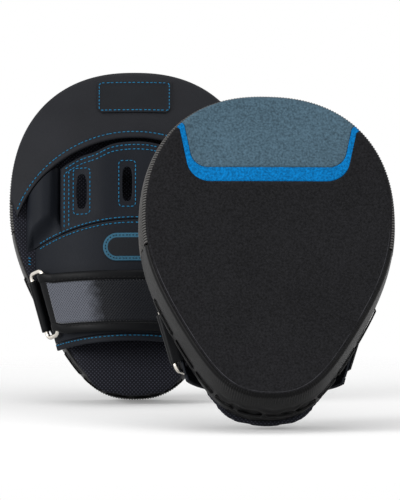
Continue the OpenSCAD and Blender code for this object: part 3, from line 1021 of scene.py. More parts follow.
    def inflate(self, bm: BMesh, voxel: float, pressure: float, cap: float,
                held: Callable[[Vector], bool]) -> BMesh:
        """Fills a closed cover with the cloth solver, then evens it out.

        Args:
            bm: the closed cover; it is freed.
            voxel: size of the even mesh.
            pressure: pressure inside.
            cap: the most that a point may move.
            held: whether a point is sewn down.

        Returns:
            The filled cover.
        """
        cover = link("cover", spent(bm, "cover"))
        cover.data.transform(Matrix.Scale(MM, 4))
        even = cover.modifiers.new("even", "REMESH")
        even.mode, even.voxel_size = "VOXEL", voxel * MM
        cover.data = self.result(cover)
        cover.modifiers.clear()
        start = [v.co.copy() for v in cover.data.vertices]
        self.solve(cover, pressure, [v.index for v in cover.data.vertices if held(v.co / MM)])
        made = bmesh.new()
        made.from_mesh(cover.data)
        made.verts.ensure_lookup_table()
        for v, rest in zip(made.verts, start):
            step = v.co - rest
            if step.length > cap * MM:
                v.co = rest + step.normalized() * cap * MM
        axes = {f"use_axis_{axis}": True for axis in "xyz"}
        bmesh.ops.smooth_vert(made, verts=made.verts[:], factor=0.5, **axes)
        bmesh.ops.scale(made, vec=(1 / MM,) * 3, verts=made.verts[:])
        self.even_normals(made)
        bpy.data.objects.remove(cover)
        self.map_cloth(made)
        return made

    def solve(self, cover: bpy.types.Object, pressure: float, held: list[int]) -> None:
        """Lets the cloth solver press a cover out.

        Args:
            cover: the closed cover, whose mesh is replaced.
            pressure: pressure inside.
            held: points that are sewn down.
        """
        scene, frames = bpy.context.scene, 20
        cover.vertex_groups.new(name="sewn").add(held, 1.0, "REPLACE")
        cloth = cover.modifiers.new("fill", "CLOTH")
        cloth.settings.use_pressure = True
        cloth.settings.uniform_pressure_force = pressure
        cloth.settings.vertex_group_mass = "sewn"
        cloth.settings.quality = 6
        cloth.settings.effector_weights.gravity = 0.0
        cloth.collision_settings.use_collision = False
        for number in range(1, frames + 1):
            scene.frame_set(number)
            bpy.context.view_layer.update()
        cover.data = self.result(cover)
        cover.modifiers.clear()
        scene.frame_set(1)

    @staticmethod
    def result(obj: bpy.types.Object) -> bpy.types.Mesh:
        """Mesh of an object with its modifiers applied."""
        graph = bpy.context.evaluated_depsgraph_get()
        return bpy.data.meshes.new_from_object(obj.evaluated_get(graph))


@dataclass
class Maker:
    """A sub-assembly that is made in the workshop; sizes in mm, angles in degrees."""

    shop: Workshop

    @property
    def pad(self) -> PadForm:
        """The pad's form."""
        return self.shop.pad

    @property
    def glove(self) -> GloveForm:
        """The glove's form."""
        return self.shop.glove

    def arched(self, d: float, low: Edge, high: Edge, left: Edge, right: Edge,
               swell: Height = lambda x, s: 0.0) -> tuple[Spot, Cloth]:
        """Panel on the arch between edges.

        Args:
            d: offset of its outer face from the arch.
            low: lower edge at x.
            high: upper edge at x.
            left: left edge at s, as an angle.
            right: right edge at s, as an angle.
            swell: further offset at x and s.

        Returns:
            Its place, and its place on the cloth, from the shares.
        """
        def flat(u: float, t: float) -> Triple:
            """Distance from the middle, angle and length of the shares.

            Args:
                u: share across.
                t: share along.

            Returns:
                Its x, angle and s.
            """
            s = mix(low(0.0), high(0.0), t)
            x = self.glove.arch(mix(left(s), right(s), u), s, 0.0)[0]
            s = mix(low(x), high(x), t)
            return x, mix(left(s), right(s), u), s

        def spot(u: float, t: float) -> Vector:
            """Bent place of the shares."""
            x, angle, s = flat(u, t)
            return self.pad.bend(*self.glove.arch(angle, s, d + swell(x, s)))

        def cloth(u: float, t: float) -> Pair:
            """Place along the arch and the length."""
            _, angle, s = flat(u, t)
            return math.radians(angle) * self.glove.arc_r(s), s

        return spot, cloth


@dataclass
class StrikingPad(Maker):
    """Foam body, pieced face, gusset and lace."""

    cover_t: float = 1.8
    edge_r: float = 4.0
    edge_rows: int = 8
    seam_turn: float = 28.0
    far_turn: float = 78.0
    far_side: float = 152.0
    near_ramp: float = 25.0
    far_ramp: float = 40.0
    crown: float = 1.2
    crown_fade: float = 40.0
    gap: float = 0.3
    accent_drop: float = 60.0
    accent_half: float = 58.0
    accent_flare: float = 0.2
    accent_r: float = 14.0
    accent_skew: float = 0.0215
    border_side: float = 4.5
    border_low: float = 12.0
    gusset_seam: float = 5.0
    gusset_gap: float = 0.45
    gusset_w: float = 40.0
    bulge: float = 1.4
    round_share: float = 0.1
    rib_h: float = 0.3
    gather_h: float = 0.6
    gather_pitch: float = 2.1
    gather_span: float = 34.0
    gather_share: float = 0.42
    fold_h: float = 0.55
    fold_count: float = 4.2
    fold_span: Pair = (0.4, 0.97)
    seam_sink: float = 0.7
    seam_share: float = 0.04
    seam_step: float = 4.0
    lace_count: int = 10
    lace_start: float = 17.0
    lace_w: float = 4.0
    lace_t: float = 1.5
    lace_share: float = 0.3
    lace_dive: float = 1.4
    lace_lift: float = 0.2
    lace_end: float = 0.09
    lace_narrow: float = 0.45
    lace_stretch: Pair = (-0.04, 0.92)
    back_t: float = 1.6
    back_inset: float = 1.0
    core_share: float = 0.28
    impact_share: float = 0.62

    def build(self) -> None:
        """Makes every piece of the pad."""
        for make in (self.face, self.border, self.panel, self.foams, self.gusset, self.lace, self.back):
            make()

    def face_depth(self, x: float, s: float) -> float:
        """Depth of the face, with a slight crown."""
        side = max(0.0, 1 - (x / max(1.0, self.pad.half_w(s))) ** 2)
        return -self.pad.thick(s) - self.crown * side * smooth((self.pad.top - abs(s)) / self.crown_fade)

    def ruled(self, first: Run, last: Run, along: float, across: float) -> Vector:
        """Bent point on the face at a share along two lines and a share from one to the other."""
        x, s = [mix(a, b, across) for a, b in zip(first.at(along)[:2], last.at(along)[:2])]
        return self.pad.bend(x, self.face_depth(x, s), s)

    def over_edge(self, angle: float, t: float) -> Vector:
        """Bent point of the pad's rounded edge, from t 0 on the face to t 1 at the seam of the gusset."""
        return self.edge_spot(angle, t * self.seam_at(angle), 0.0)

    def seam_at(self, angle: float) -> float:
        """Turn of the gusset's seam; the cover reaches further over the top and one side.

        Args:
            angle: place on the outline.

        Returns:
            The turn round the edge, from 0 on the face.
        """
        a = (angle + 90) % 360 - 90
        reach = smooth((a + self.gusset_seam) / self.near_ramp) * smooth((self.far_side - a) / self.far_ramp)
        return mix(self.seam_turn, self.far_turn, reach)

    def edge_spot(self, angle: float, turn: float, out: float) -> Vector:
        """Bent point of the pad's rounded edge.

        Args:
            angle: place on the outline.
            turn: 0 on the face and 90 on the side.
            out: how far it is moved out.

        Returns:
            The point.
        """
        inwards, sunk = (self.edge_r * (1 - f(math.radians(turn))) for f in (math.sin, math.cos))
        x, s = self.pad.rim(angle, out - inwards)
        return self.pad.bend(x, self.face_depth(x, s) + sunk, s)

    def accent_run(self, side: float, low: float, r: float) -> tuple[Run, float]:
        """Lower edge of the accent from rim to rim.

        Args:
            side: growth at the sides.
            low: growth at the lower edge.
            r: corner radius.

        Returns:
            The edge, and the angle of the outline where it ends on the right.
        """
        flare = self.accent_flare
        s0 = self.pad.top - self.accent_drop - low
        w = self.accent_half + side - flare * low
        low_a, high_a = 5.0, 89.0
        for _ in range(40):
            mid = (low_a + high_a) / 2
            x, s = self.pad.rim(mid, -self.edge_r)
            outside = x > w + flare * (s - s0)
            low_a, high_a = (mid, high_a) if outside else (low_a, mid)
        end_x, end_s = self.pad.rim(low_a, -self.edge_r)
        middle = w + flare * r - r * math.hypot(1.0, flare)
        turns = steps(-math.pi / 2, -math.atan(flare), 14)
        corner = [(middle + r * math.cos(a), s0 + r + r * math.sin(a)) for a in turns]
        (x, s), count = corner[-1], 20
        side_line = list(zip(steps(x, end_x, count), steps(s, end_s, count)))[1:]
        half = [(x, s0) for x in steps(0.0, middle, 30)[:-1]] + corner + side_line
        edge = [(-x, s) for x, s in reversed(half[1:])] + half
        return Run([(x, s + self.accent_skew * x * (end_s - s) / (end_s - s0)) for x, s in edge]), low_a

    def cover(self, piece: Piece, cols: int, rows: int, rim: Run, inner: Run, rim_first: bool) -> None:
        """Panel of the face from its seam over the pad's edge to the accent.

        Args:
            piece: what it becomes.
            cols: faces along the rim.
            rows: faces across the flat face.
            rim: where the face begins to turn over the edge; its points hold their angle.
            inner: its edge at the accent.
            rim_first: whether its rows are counted from the rim.
        """
        def spot(u: float, t: float) -> Vector:
            """From the seam over the edge and across the face.

            Args:
                u: share along the rim.
                t: share of the rows.

            Returns:
                Its place.
            """
            part = (t if rim_first else 1 - t) * (rows + self.edge_rows) - self.edge_rows
            if part < 0:
                return self.over_edge(rim.at(u)[2], -part / self.edge_rows)
            return self.ruled(rim, inner, u, part / rows)

        self.shop.panel(piece, cols, rows + self.edge_rows, spot, out=to_face, merge=True)

    def face(self) -> None:
        """Black cover of the face below the accent."""
        side, low = self.border_side + self.gap, self.border_low + self.gap
        upper, angle = self.accent_run(side, low, self.accent_r + self.border_side)
        rim = self.pad.rim_run(180 - angle, 360 + angle, -self.edge_r)
        piece = Piece("face_cover", Slot.FACE, Finishes.FACE, ("striking_face",), wall=self.cover_t)
        self.cover(piece, 150, 44, rim, upper, True)

    def border(self) -> None:
        """Blue strip round the grey panel."""
        outer, angle_o = self.accent_run(self.border_side, self.border_low, self.accent_r + self.border_side)
        inner, angle_i = self.accent_run(self.gap, self.gap, self.accent_r)
        cols, ends = 120, self.edge_rows

        def spot(u: float, t: float) -> Vector:
            """Across the strip, and over the edge at both ends.

            Args:
                u: share along, with both turned ends.
                t: share across.

            Returns:
                Its place.
            """
            part = u * (cols + 2 * ends)
            angle = mix(angle_o, angle_i, t)
            if part < ends:
                return self.over_edge(180 - angle, 1 - part / ends)
            if part > cols + ends:
                return self.over_edge(angle, (part - cols - ends) / ends)
            return self.ruled(outer, inner, (part - ends) / cols, t)

        piece = Piece("blue_border", Slot.BLUE, Finishes.BLUE, ("accent_border",), wall=self.cover_t)
        self.shop.panel(piece, cols + 2 * ends, 8, spot, out=to_face)

    def panel(self) -> None:
        """Grey panel at the top of the face."""
        lower, angle = self.accent_run(0.0, 0.0, self.accent_r)
        rim = self.pad.rim_run(180 - angle, angle, -self.edge_r)
        piece = Piece("grey_panel", Slot.GREY, Finishes.GREY, ("accent_panel",), wall=self.cover_t)
        self.cover(piece, 110, 26, rim, lower, False)

    def layer(self, share: float, shift: float, inset: float) -> Spot:
        """Surface through the whole pad.

        Args:
            share: its place in the thickness, 0 at the back.
            shift: how far it is moved towards the back.
            inset: how far its edge lies inside the outline.

        Returns:
            The surface by its shares across and along.
        """
        reach = self.pad.top - inset

        def spot(u: float, t: float) -> Vector:
            """Bent place of the shares.

            Args:
                u: share across.
                t: share along.

            Returns:
                Its place.
            """
            s = -reach * math.cos(math.pi * t)
            half = max(0.2, self.pad.half_w(s * self.pad.top / reach) - inset)
            return self.pad.bend((2 * u - 1) * half, shift - share * self.pad.thick(s), s)

        return spot

    def foams(self) -> None:
        """The three foam layers inside."""
        gap, inset = self.gap, self.cover_t + 2 * self.gap
        for name, front, back, front_shift, back_shift, edge in (
            ("impact", 1.0, self.impact_share, self.cover_t + gap, -gap, inset + self.edge_r),
            ("core", self.impact_share, self.core_share, 0.0, -gap, inset),
            ("back", self.core_share, 0.0, 0.0, -self.back_t - gap, inset),
        ):
            bm = self.shop.cut(28, 40, self.layer(front, front_shift, edge))
            self.shop.thicken(bm, self.layer(back, back_shift, edge))
            self.shop.put(bm, Piece(f"{name}_layer", Slot.FOAM, Finishes.FOAM, (f"{name}_foam",), fill=1.0))

    def wall_spot(self, run: Run, gathers: float, rib: float) -> Spot:
        """Gusset surface along a stretch of the outline, from its seam at the face to the back.

        Args:
            run: the stretch, whose points hold their angle.
            gathers: height of the gathers at the heel.
            rib: height of woven ribs.

        Returns:
            The surface by its shares along and across.
        """
        slant, pitch, full = math.radians(Finishes.WOVEN.turn), Finishes.WOVEN.pitch_mm, 2 * math.pi

        def spot(u: float, t: float) -> Vector:
            """Bent place of the shares, with gathers, folds, sunk seams and ribs.

            Args:
                u: share along.
                t: share across.

            Returns:
                Its place.
            """
            angle, along = run.at(u)[2], u * run.length
            heel = smooth(max(0.0, 1 - abs(angle - 270) / self.gather_span) * 2)
            fade = max(0.0, 1 - t / self.gather_share)
            ripple = gathers * heel * math.sin(along / self.gather_pitch * full) * fade
            inside = smooth((t - self.fold_span[0]) / 0.15) * smooth((self.fold_span[1] - t) / 0.1)
            creased = heel * inside if gathers else 0.0
            wander = 0.3 * math.sin(angle / 5.0) + 0.2 * math.sin(angle / 1.9)
            folds = self.fold_h * creased * math.sin(full * (self.fold_count * t + wander))
            seam = -self.seam_sink * sum(math.exp(-((v / self.seam_share) ** 2)) for v in (t, 1 - t))
            twill = (along * math.cos(slant) - t * self.gusset_w * math.sin(slant)) / pitch
            rope = rib * math.sin(full * twill) * smooth(min(t, 1 - t) / 0.1)
            out = self.bulge * math.sin(math.pi * t) + ripple + folds + seam + rope
            part = (t - self.round_share) / (1 - self.round_share)
            if part < 0:
                first = self.seam_at(angle) + self.seam_step
                return self.edge_spot(angle, mix(first, 90.0, t / self.round_share), out)
            x, s = self.pad.rim(angle, out)
            return self.pad.bend(x, mix(self.edge_r - self.pad.thick(s), 0.0, part), s)

        return spot

    def gusset(self) -> None:
        """Woven upper and smooth lower side strips."""
        seam, gap = self.gusset_seam, self.gusset_seam + self.gusset_gap
        woven = Piece("woven_strip", Slot.WOVEN, Finishes.WOVEN, ("upper_gusset",), wall=self.cover_t)
        leather = Piece("leather_strip", Slot.GLOVE, Finishes.SHADED_WALL, ("lower_gusset",), wall=self.cover_t)
        for piece, start, end, gathers, rib, cols in (
            (woven, -seam, 180 + seam, 0.0, self.rib_h, 1000),
            (leather, 180 + gap, 360 - gap, self.gather_h, 0.0, 620),
        ):
            run = self.pad.rim_run(start, end, 0.0, 3000)
            self.shop.panel(piece, cols, 30, self.wall_spot(run, gathers, rib),
                            lambda u, t, run=run: (u * run.length, t * self.gusset_w),
                            lambda p: Vector((p.x, 0.0, p.z - self.pad.widest)))

    def lace(self) -> None:
        """Running lace: flat stitches that dive into the gusset at both ends."""
        pitch = (180 - 2 * self.lace_start) / self.lace_count
        base = self.bulge * math.sin(math.pi * (1 - self.lace_share))
        parts = []
        for k in range(self.lace_count):
            first, last = [180 + self.lace_start + (k + share) * pitch for share in self.lace_stretch]
            run = self.pad.rim_run(first, last, 0.0, 40)

            def spot(u: float, t: float, run: Run = run) -> Vector:
                """A flat round lace, drawn in at its ends.

                Args:
                    u: share along.
                    t: share round.
                    run: the stitch's run.

                Returns:
                    Its place.
                """
                angle = run.at(u)[2]
                end = smooth(min(u, 1 - u) / self.lace_end)
                (rise, wide), half = on_circle(1.0, 360 * t), self.lace_t / 2
                out = base + mix(-self.lace_dive, self.lace_lift + half, end) + half * rise
                x, s = self.pad.rim(angle, out)
                sunk = self.lace_share * self.pad.thick(self.pad.outline(angle)[1])
                return self.pad.bend(x, self.lace_w / 2 * mix(self.lace_narrow, 1.0, end) * wide - sunk, s)

            bm = self.shop.cut(24, 10, spot, lambda u, t, run=run: (u * run.length, t * 8))
            bmesh.ops.remove_doubles(bm, verts=bm.verts[:], dist=0.01)
            bmesh.ops.holes_fill(bm, edges=[e for e in bm.edges if e.is_boundary], sides=0)
            self.shop.even_normals(bm)
            parts.append(bm)
        self.shop.put(self.shop.joined(parts), Piece("heel_lace", Slot.LACE, Finishes.LACE, ("edge_lace",)))

    def back(self) -> None:
        """Perforated panel on the pad's back."""
        piece = Piece("back_cloth", Slot.PERFORATED, Finishes.DOTTED, ("back_panel",), wall=self.back_t)
        self.shop.panel(piece, 60, 84, self.layer(0.0, 0.0, self.back_inset), merge=True)


@dataclass
class HandGlove(Maker):
    """Hood, knuckle panel, hand panel, thumb sleeve, cuff and cushions on the pad's back."""

    hood_side: float = 5.0
    hood_inset: float = 1.2
    hood_end: float = 8.0
    roll_out: float = 1.9
    roll_down: float = 3.6
    knuckle_s: float = 68.0
    knuckle_edge: float = 58.0
    knuckle_arch: float = 0.006
    knuckle_dip: float = 2.2
    dip_x: float = -30.0
    dip_w: float = 9.0
    knuckle_gap: float = 0.6
    swell_h: float = 0.9
    swell_rise: float = 14.0
    swell_half: float = 70.0
    swell_fade: float = 16.0
    crease_h: float = 0.45
    crease_wave: float = 7.5
    crease_slant: float = 0.02
    crease_low: float = -40.0
    crease_rise: float = 12.0
    crease_half: float = 72.0
    crease_fade: float = 20.0
    seam_s: float = 5.0
    seam_r: float = 174.0
    slot_w: float = 7.0
    slot_l: float = 28.0
    slot_pitch: float = 36.0
    slot_s: float = 34.0
    slot_drop: float = 5.0
    slot_shift: float = 5.5
    slot_power: float = 0.65
    slot_ease: float = 0.56
    slot_frame: Triple = (6.6, 18.5, 3.0)
    thumb_half: float = 14.0
    thumb_h: float = 24.0
    thumb_s: float = 50.0
    thumb_tip: float = 0.62
    thumb_sewn: float = 0.4
    thumb_gap: float = 0.5
    thumb_short: float = 2.0
    thumb_crease: float = 0.14
    thumb_crease_u: float = 0.7
    thumb_crease_w: float = 0.08
    label_w: float = 59.0
    label_l: float = 28.0
    label_drop: float = 8.0
    label_cut: float = 4.0
    label_lift: float = 1.2
    label_rim: float = 0.5
    label_rim_w: float = 2.6
    oval_w: float = 49.0
    oval_l: float = 22.0
    oval_s: float = -17.0
    oval_rim: float = 3.6
    cuff_s: float = -84.5
    cuff_hem_w: float = 6.0
    cuff_arch: float = 0.0012
    lining_t: float = 2.3
    tab_t: float = 1.6
    palm_r: float = 26.0
    palm_h: float = 12.0
    heel_rise: float = 10.0
    heel_over: float = 3.0
    heel_in: float = 5.0
    heel_side: float = 1.5
    heel_fill: float = 2.2
    heel_sewn: float = 0.9
    heel_turn: Pair = (25.0, 160.0)
    stitch_rows: Pair = (2.6, 6.2)
    stitch_columns: Pair = (2.8, 6.4)
    seam_rows: Pair = (1.9, -2.4)
    tack_s: Triple = (-20.0, -22.4, -24.8)
    tack_x: Pair = (-85.0, -80.4)

    def build(self) -> None:
        """Makes every piece of the glove."""
        for make in (self.hood, self.label, self.knuckles, self.hand, self.oval, self.thumb, self.cuff,
                     self.heel, self.palm, self.stitching):
            make()

    def seam_at(self, x: float) -> float:
        """Seam between knuckle and hand panel."""
        return self.seam_s - self.seam_r + math.sqrt(self.seam_r**2 - x * x)

    def foot(self, s: float) -> float:
        """Angle of the arch where its inner face meets the pad."""
        return self.glove.foot(s, -self.glove.wall, self.glove.gap)

    def hem_s(self, x: float) -> float:
        """Length coordinate of the hood's edge."""
        share = max(0.0, 1 - (2 * x / (self.pad.width - 1)) ** 2)
        return self.glove.hood_s - self.glove.hood_arch * (1 - math.sqrt(share))

    def hood_y(self, x: float, s: float) -> float:
        """Height of the hood's outer face.

        Args:
            x: place across.
            s: place along.

        Returns:
            The height.
        """
        side = max(0.0, 1 - (x / max(1.0, self.pad.half_w(s))) ** 2)
        v = max(0.0, (s - self.glove.hood_s) / (self.pad.top - self.glove.hood_s))
        return self.glove.gap + self.glove.wall + self.glove.hood_rise * side * (1 - v * v)

    def on_hood(self, x: float, s: float, lift: float = 0.0) -> Vector:
        """Bent place over the hood."""
        return self.pad.bend(x, self.hood_y(x, s) + lift, s)

    def hood_ends(self, q: float, grow: float = 0.0) -> tuple[Pair, Pair]:
        """Ends of a line up the hood.

        Args:
            q: share across the hood.
            grow: how far the end on the rim is moved out.

        Returns:
            Flat places on the hood's edge and on the rim.
        """
        reach = self.pad.width / 2 - self.hood_side
        share = max(0.0, (self.hem_s(reach) + self.hood_end - self.pad.widest) / self.pad.up)
        side = math.degrees(math.asin(share ** (self.pad.top_power / 2)))
        x = -reach * math.cos(math.pi * q)
        return (x, self.hem_s(x)), self.pad.rim(mix(180 - side, side, q), grow - self.hood_inset)

    def hood_flat(self, q: float, off: float) -> Pair:
        """Flat place on the hood at a share across, off mm up from its edge.

        Args:
            q: share across.
            off: distance up from the edge.

        Returns:
            Its flat x and s.
        """
        edge, rim = self.hood_ends(q)
        share = off / max(1.0, math.hypot(rim[0] - edge[0], rim[1] - edge[1]))
        return mix(edge[0], rim[0], share), mix(edge[1], rim[1], share)

    def hood(self) -> None:
        """Leather hood over the finger tips, and its folded edge."""
        rows, roll, wall = 26, 6, self.glove.wall

        def spot(u: float, t: float) -> Vector:
            """From the edge to the rim, then rolled over the rim.

            Args:
                u: share across.
                t: share up from the edge.

            Returns:
                Its place.
            """
            part = t * (rows + roll)
            if part <= rows:
                edge, rim = self.hood_ends(u)
                return self.on_hood(*[mix(a, b, part / rows) for a, b in zip(edge, rim)])
            turn = (part - rows) / roll * math.pi / 2
            x, s = self.hood_ends(u, self.roll_out * math.sin(turn))[1]
            return self.pad.bend(x, self.glove.gap + wall - self.roll_down * (1 - math.cos(turn)), s)

        def fold(u: float, t: float) -> Vector:
            """Binding folded round the hood's edge.

            Args:
                u: share along.
                t: share round the edge.

            Returns:
                Its place.
            """
            reach, bend, nose, first, last = self.glove.hem_w + 0.2, 0.6, 1.5, 0.42, 0.58
            above, below = 0.8, -wall - 0.7
            if t < first:
                off, up = mix(reach, bend, t / first), above
            elif t < last:
                turn = (t - first) / (last - first) * math.pi
                off, up = bend - nose * math.sin(turn), mix(above, below, (1 - math.cos(turn)) / 2)
            else:
                off, up = mix(bend, reach * 0.7, (t - last) / (1 - last)), below
            return self.on_hood(*self.hood_flat(mix(0.02, 0.98, u), off), up)

        piece = Piece("hood_leather", Slot.GLOVE, Finishes.HOOD, ("finger_hood",), wall=wall)
        self.shop.panel(piece, 96, rows + roll, spot)
        piece = Piece("hood_binding", Slot.BINDING, Finishes.HOOD, ("hood_hem",), wall=0.6)
        self.shop.panel(piece, 96, 24, fold)

    def label(self) -> None:
        """Bare stitched patch on the hood."""
        s0 = self.pad.top - self.label_drop - self.label_l

        def spot(u: float, t: float) -> Vector:
            """A patch with cut lower corners and a slightly raised rim.

            Args:
                u: share across.
                t: share along.

            Returns:
                Its place.
            """
            w = self.label_w / 2 - max(0.0, self.label_cut - t * self.label_l)
            near = min(min(u, 1 - u) * self.label_w, min(t, 1 - t) * self.label_l)
            rim = self.label_rim * (1 - smooth((near - self.label_rim_w) / 1.2))
            return self.on_hood(mix(-w, w, u), s0 + t * self.label_l, self.label_lift + rim)

        piece = Piece("hood_patch", Slot.FACE, Finishes.PATCH, ("label_patch",), wall=1.0, edge=0.3)
        self.shop.panel(piece, 58, 30, spot)

    def slot_spots(self) -> list[Pair]:
        """Middles of the vent slots."""
        return [(k * self.slot_pitch - self.slot_shift, self.slot_s - self.slot_drop * abs(k))
                for k in (-1, 0, 1)]

    def finger_swell(self, x: float, s: float) -> float:
        """Soft ridges over the fingers.

        Args:
            x: place across.
            s: place along.

        Returns:
            The added height.
        """
        ridge = math.cos(2 * math.pi * (x + self.slot_shift + self.slot_pitch / 2) / self.slot_pitch)
        inside = smooth((s - self.seam_at(x)) / self.swell_rise)
        return self.swell_h * ridge * inside * smooth((self.swell_half - abs(x)) / self.swell_fade)

    def knuckle_top(self, x: float) -> float:
        """Free upper edge of the knuckle panel, with a small dip on the thumb's side."""
        dip = self.knuckle_dip * math.exp(-(((x - self.dip_x) / self.dip_w) ** 2))
        return self.knuckle_s - self.knuckle_arch * x * x - dip

    def knuckles(self) -> None:
        """Knuckle panel with its vent slots cut through."""
        bm = self.shop.cut(96, 44, *self.arched(
            0.0, lambda x: self.seam_at(x) + self.knuckle_gap, self.knuckle_top,
            lambda s: -self.glove.arch_at(self.knuckle_edge, s), self.foot, self.finger_swell))
        self.shop.face_out(bm, over_hand)
        panel = link("panel", spent(bm, "panel"))
        solid = panel.modifiers.new("wall", "SOLIDIFY")
        solid.thickness, solid.offset = self.glove.wall, -1.0
        tools = [self.slot_tool(x, s) for x, s in self.slot_spots()]
        for tool in tools:
            cutter = panel.modifiers.new("slot", "BOOLEAN")
            cutter.operation, cutter.object, cutter.solver = "DIFFERENCE", tool, "EXACT"
        bpy.context.view_layer.update()
        made = bmesh.new()
        made.from_mesh(self.shop.result(panel))
        for obj in (panel, *tools):
            bpy.data.objects.remove(obj)
        self.shop.even_normals(made)
        self.shop.put(made, Piece("knuckle_leather", Slot.GLOVE, Finishes.GLOVE, ("knuckle_panel",)))

    def slot_tool(self, x: float, s: float) -> bpy.types.Object:
        """Cutter of one vent slot.

        Args:
            x: the slot's middle across.
            s: the slot's middle along.

        Returns:
            The cutter.
        """
        bm, low, depth = bmesh.new(), 4.0, 50.0
        bmesh.ops.create_circle(bm, cap_ends=True, segments=48, radius=1.0)
        for v in bm.verts:
            wide, along = (math.copysign(abs(c) ** self.slot_power, c) for c in v.co.xy)
            v.co = Vector((x + wide * self.slot_w * self.slot_ease, low, s + along * self.slot_l / 2))
        bmesh.ops.translate(bm, vec=(0, depth, 0), verts=self.shop.extruded(bm))
        self.shop.even_normals(bm)
        return link("slot_tool", spent(bm, "slot_tool"))

    def hand(self) -> None:
        """Panel over the back of the hand."""
        def swell(x: float, s: float) -> float:
            """Faint creases across the hand.

            Args:
                x: place across.
                s: place along.

            Returns:
                The added height.
            """
            wave = self.crease_h * math.sin(s / self.crease_wave + self.crease_slant * x)
            inside = smooth((s - self.crease_low) / self.crease_rise)
            return wave * inside * smooth((self.crease_half - abs(x)) / self.crease_fade)

        glove = self.glove
        piece = Piece("hand_leather", Slot.GLOVE, Finishes.GLOVE, ("hand_panel",), wall=glove.wall, edge=0.4)
        self.shop.panel(piece, 100, 30, *self.arched(
            0.0, lambda x: glove.split + glove.gap, self.seam_at, lambda s: -self.foot(s), self.foot, swell))

    def oval(self) -> None:
        """Stadium patch with a raised coloured rim and a bare field."""
        rim = Piece("hand_patch_rim", Slot.BLUE, Finishes.TRIM, ("oval_patch",), wall=0.8, edge=0.25)
        field = Piece("hand_patch_field", Slot.FACE, Finishes.PATCH, wall=0.8, edge=0.2)
        for piece, inset, lift in ((rim, 0.0, 1.0), (field, self.oval_rim, 1.35)):
            def spot(u: float, t: float, r: float = self.oval_l / 2 - inset, lift: float = lift) -> Vector:
                """Surface of the patch.

                Args:
                    u: share across.
                    t: share along.
                    r: radius of the patch's ends.
                    lift: height over the hand.

                Returns:
                    Its place.
                """
                v = -math.cos(math.pi * t)
                w = self.oval_w / 2 - self.oval_l / 2 + r * math.sqrt(max(0.0, 1 - 0.995 * v * v))
                x, s = mix(-w, w, u), self.oval_s + v * r
                return self.pad.bend(x, self.glove.over(x, s, self.glove.gap + lift), s)

            self.shop.panel(piece, 40, 30, spot)

    def thumb(self) -> None:
        """Thumb sleeve: sewn into the hand's seam, then rising to a half tube that ends at the hood."""
        centre, gap = self.knuckle_edge + self.thumb_half - 1, self.glove.gap

        def spot(u: float, t: float) -> Vector:
            """From the hand panel's arch at the seam to a half ellipse at the tip.

            Args:
                u: share round.
                t: share along.

            Returns:
                Its place.
            """
            x = -centre - self.thumb_half * math.cos(math.pi * u)
            s = mix(self.seam_at(x) + self.thumb_gap, min(self.thumb_s, self.hem_s(x) - self.thumb_short), t)
            sunk = math.exp(-(((u - self.thumb_crease_u) / self.thumb_crease_w) ** 2))
            crease = 1 - self.thumb_crease * sunk * smooth(t * 2)
            tube = mix(self.thumb_h, self.thumb_tip * self.thumb_h, t) * math.sin(math.pi * u) * crease
            sewn = max(0.0, self.glove.over(x, s, 0.0) - gap)
            return self.pad.bend(x, gap + mix(sewn, tube, smooth(t / self.thumb_sewn)), s)

        wall = self.glove.wall
        piece = Piece("thumb_leather", Slot.GLOVE, Finishes.GLOVE, ("thumb_sleeve",), wall=wall, edge=0.4)
        self.shop.panel(piece, 48, 40, spot)

    def cuff_edge(self, drop: float) -> Edge:
        """Curved line across the cuff, drop mm below its lower edge."""
        return lambda x: self.cuff_s - drop - self.cuff_arch * x * x

    def cuff(self) -> None:
        """Cuff, its padded lining and its bound edge."""
        glove, wall, gap = self.glove, self.glove.wall, self.glove.gap
        leather = Piece("cuff_leather", Slot.GLOVE, Finishes.GLOVE, ("wrist_cuff",), wall=wall, edge=0.4)
        lining = Piece("cuff_padding", Slot.LINING, Finishes.MESH, ("cuff_lining",), wall=self.lining_t,
                       edge=0.6, fill=0.5)
        hem = Piece("cuff_binding", Slot.BINDING, Finishes.GLOVE, ("cuff_hem",), wall=wall + 1.0, edge=0.9)
        for piece, d, inner, cols, rows, low, high in (
            (leather, 0.0, -wall, 90, 34, self.cuff_edge(0.0), lambda x: glove.split),
            (lining, -wall - gap, -wall - gap - self.lining_t, 60, 24,
             lambda x: self.cuff_s + 2, lambda x: glove.split - 2),
            (hem, 0.5, -wall - 0.5, 90, 8, self.cuff_edge(self.cuff_hem_w), self.cuff_edge(gap)),
        ):
            self.shop.panel(piece, cols, rows, *self.arched(
                d, low, high, lambda s, inner=inner: -glove.foot(s, inner, gap + self.tab_t + gap),
                lambda s, inner=inner: glove.foot(s, inner, gap)))

    def heel(self) -> None:
        """Filled heel cushion."""
        low, high = -self.pad.top - self.heel_over, self.cuff_s - 1
        base, scale = self.glove.gap, self.pad.top / (self.pad.top + self.heel_over)

        def flat(u: float, t: float) -> Triple:
            """Share across from -1 to 1, and flat x and s, of the cushion that overhangs the heel.

            Args:
                u: share across.
                t: share along.

            Returns:
                The share, x and s.
            """
            s = mix(low, high, t)
            half = max(1.0, self.pad.half_w(s * scale) + mix(self.heel_over, -self.heel_in, t))
            return 2 * u - 1, (2 * u - 1) * half, s

        def top(u: float, t: float) -> Vector:
            """Crowned upper face, a little low before it is filled.

            Args:
                u: share across.
                t: share along.

            Returns:
                Its place.
            """
            across, x, s = flat(u, t)
            turn = math.radians(mix(*self.heel_turn, t))
            crown = math.sqrt(max(0.0, 1 - across * across)) * math.sin(turn)
            return self.pad.bend(x, base + self.heel_side + (self.heel_rise - self.heel_fill) * crown, s)

        def under(u: float, t: float) -> Vector:
            """Flat lower face."""
            _, x, s = flat(u, t)
            return self.pad.bend(x, base, s)

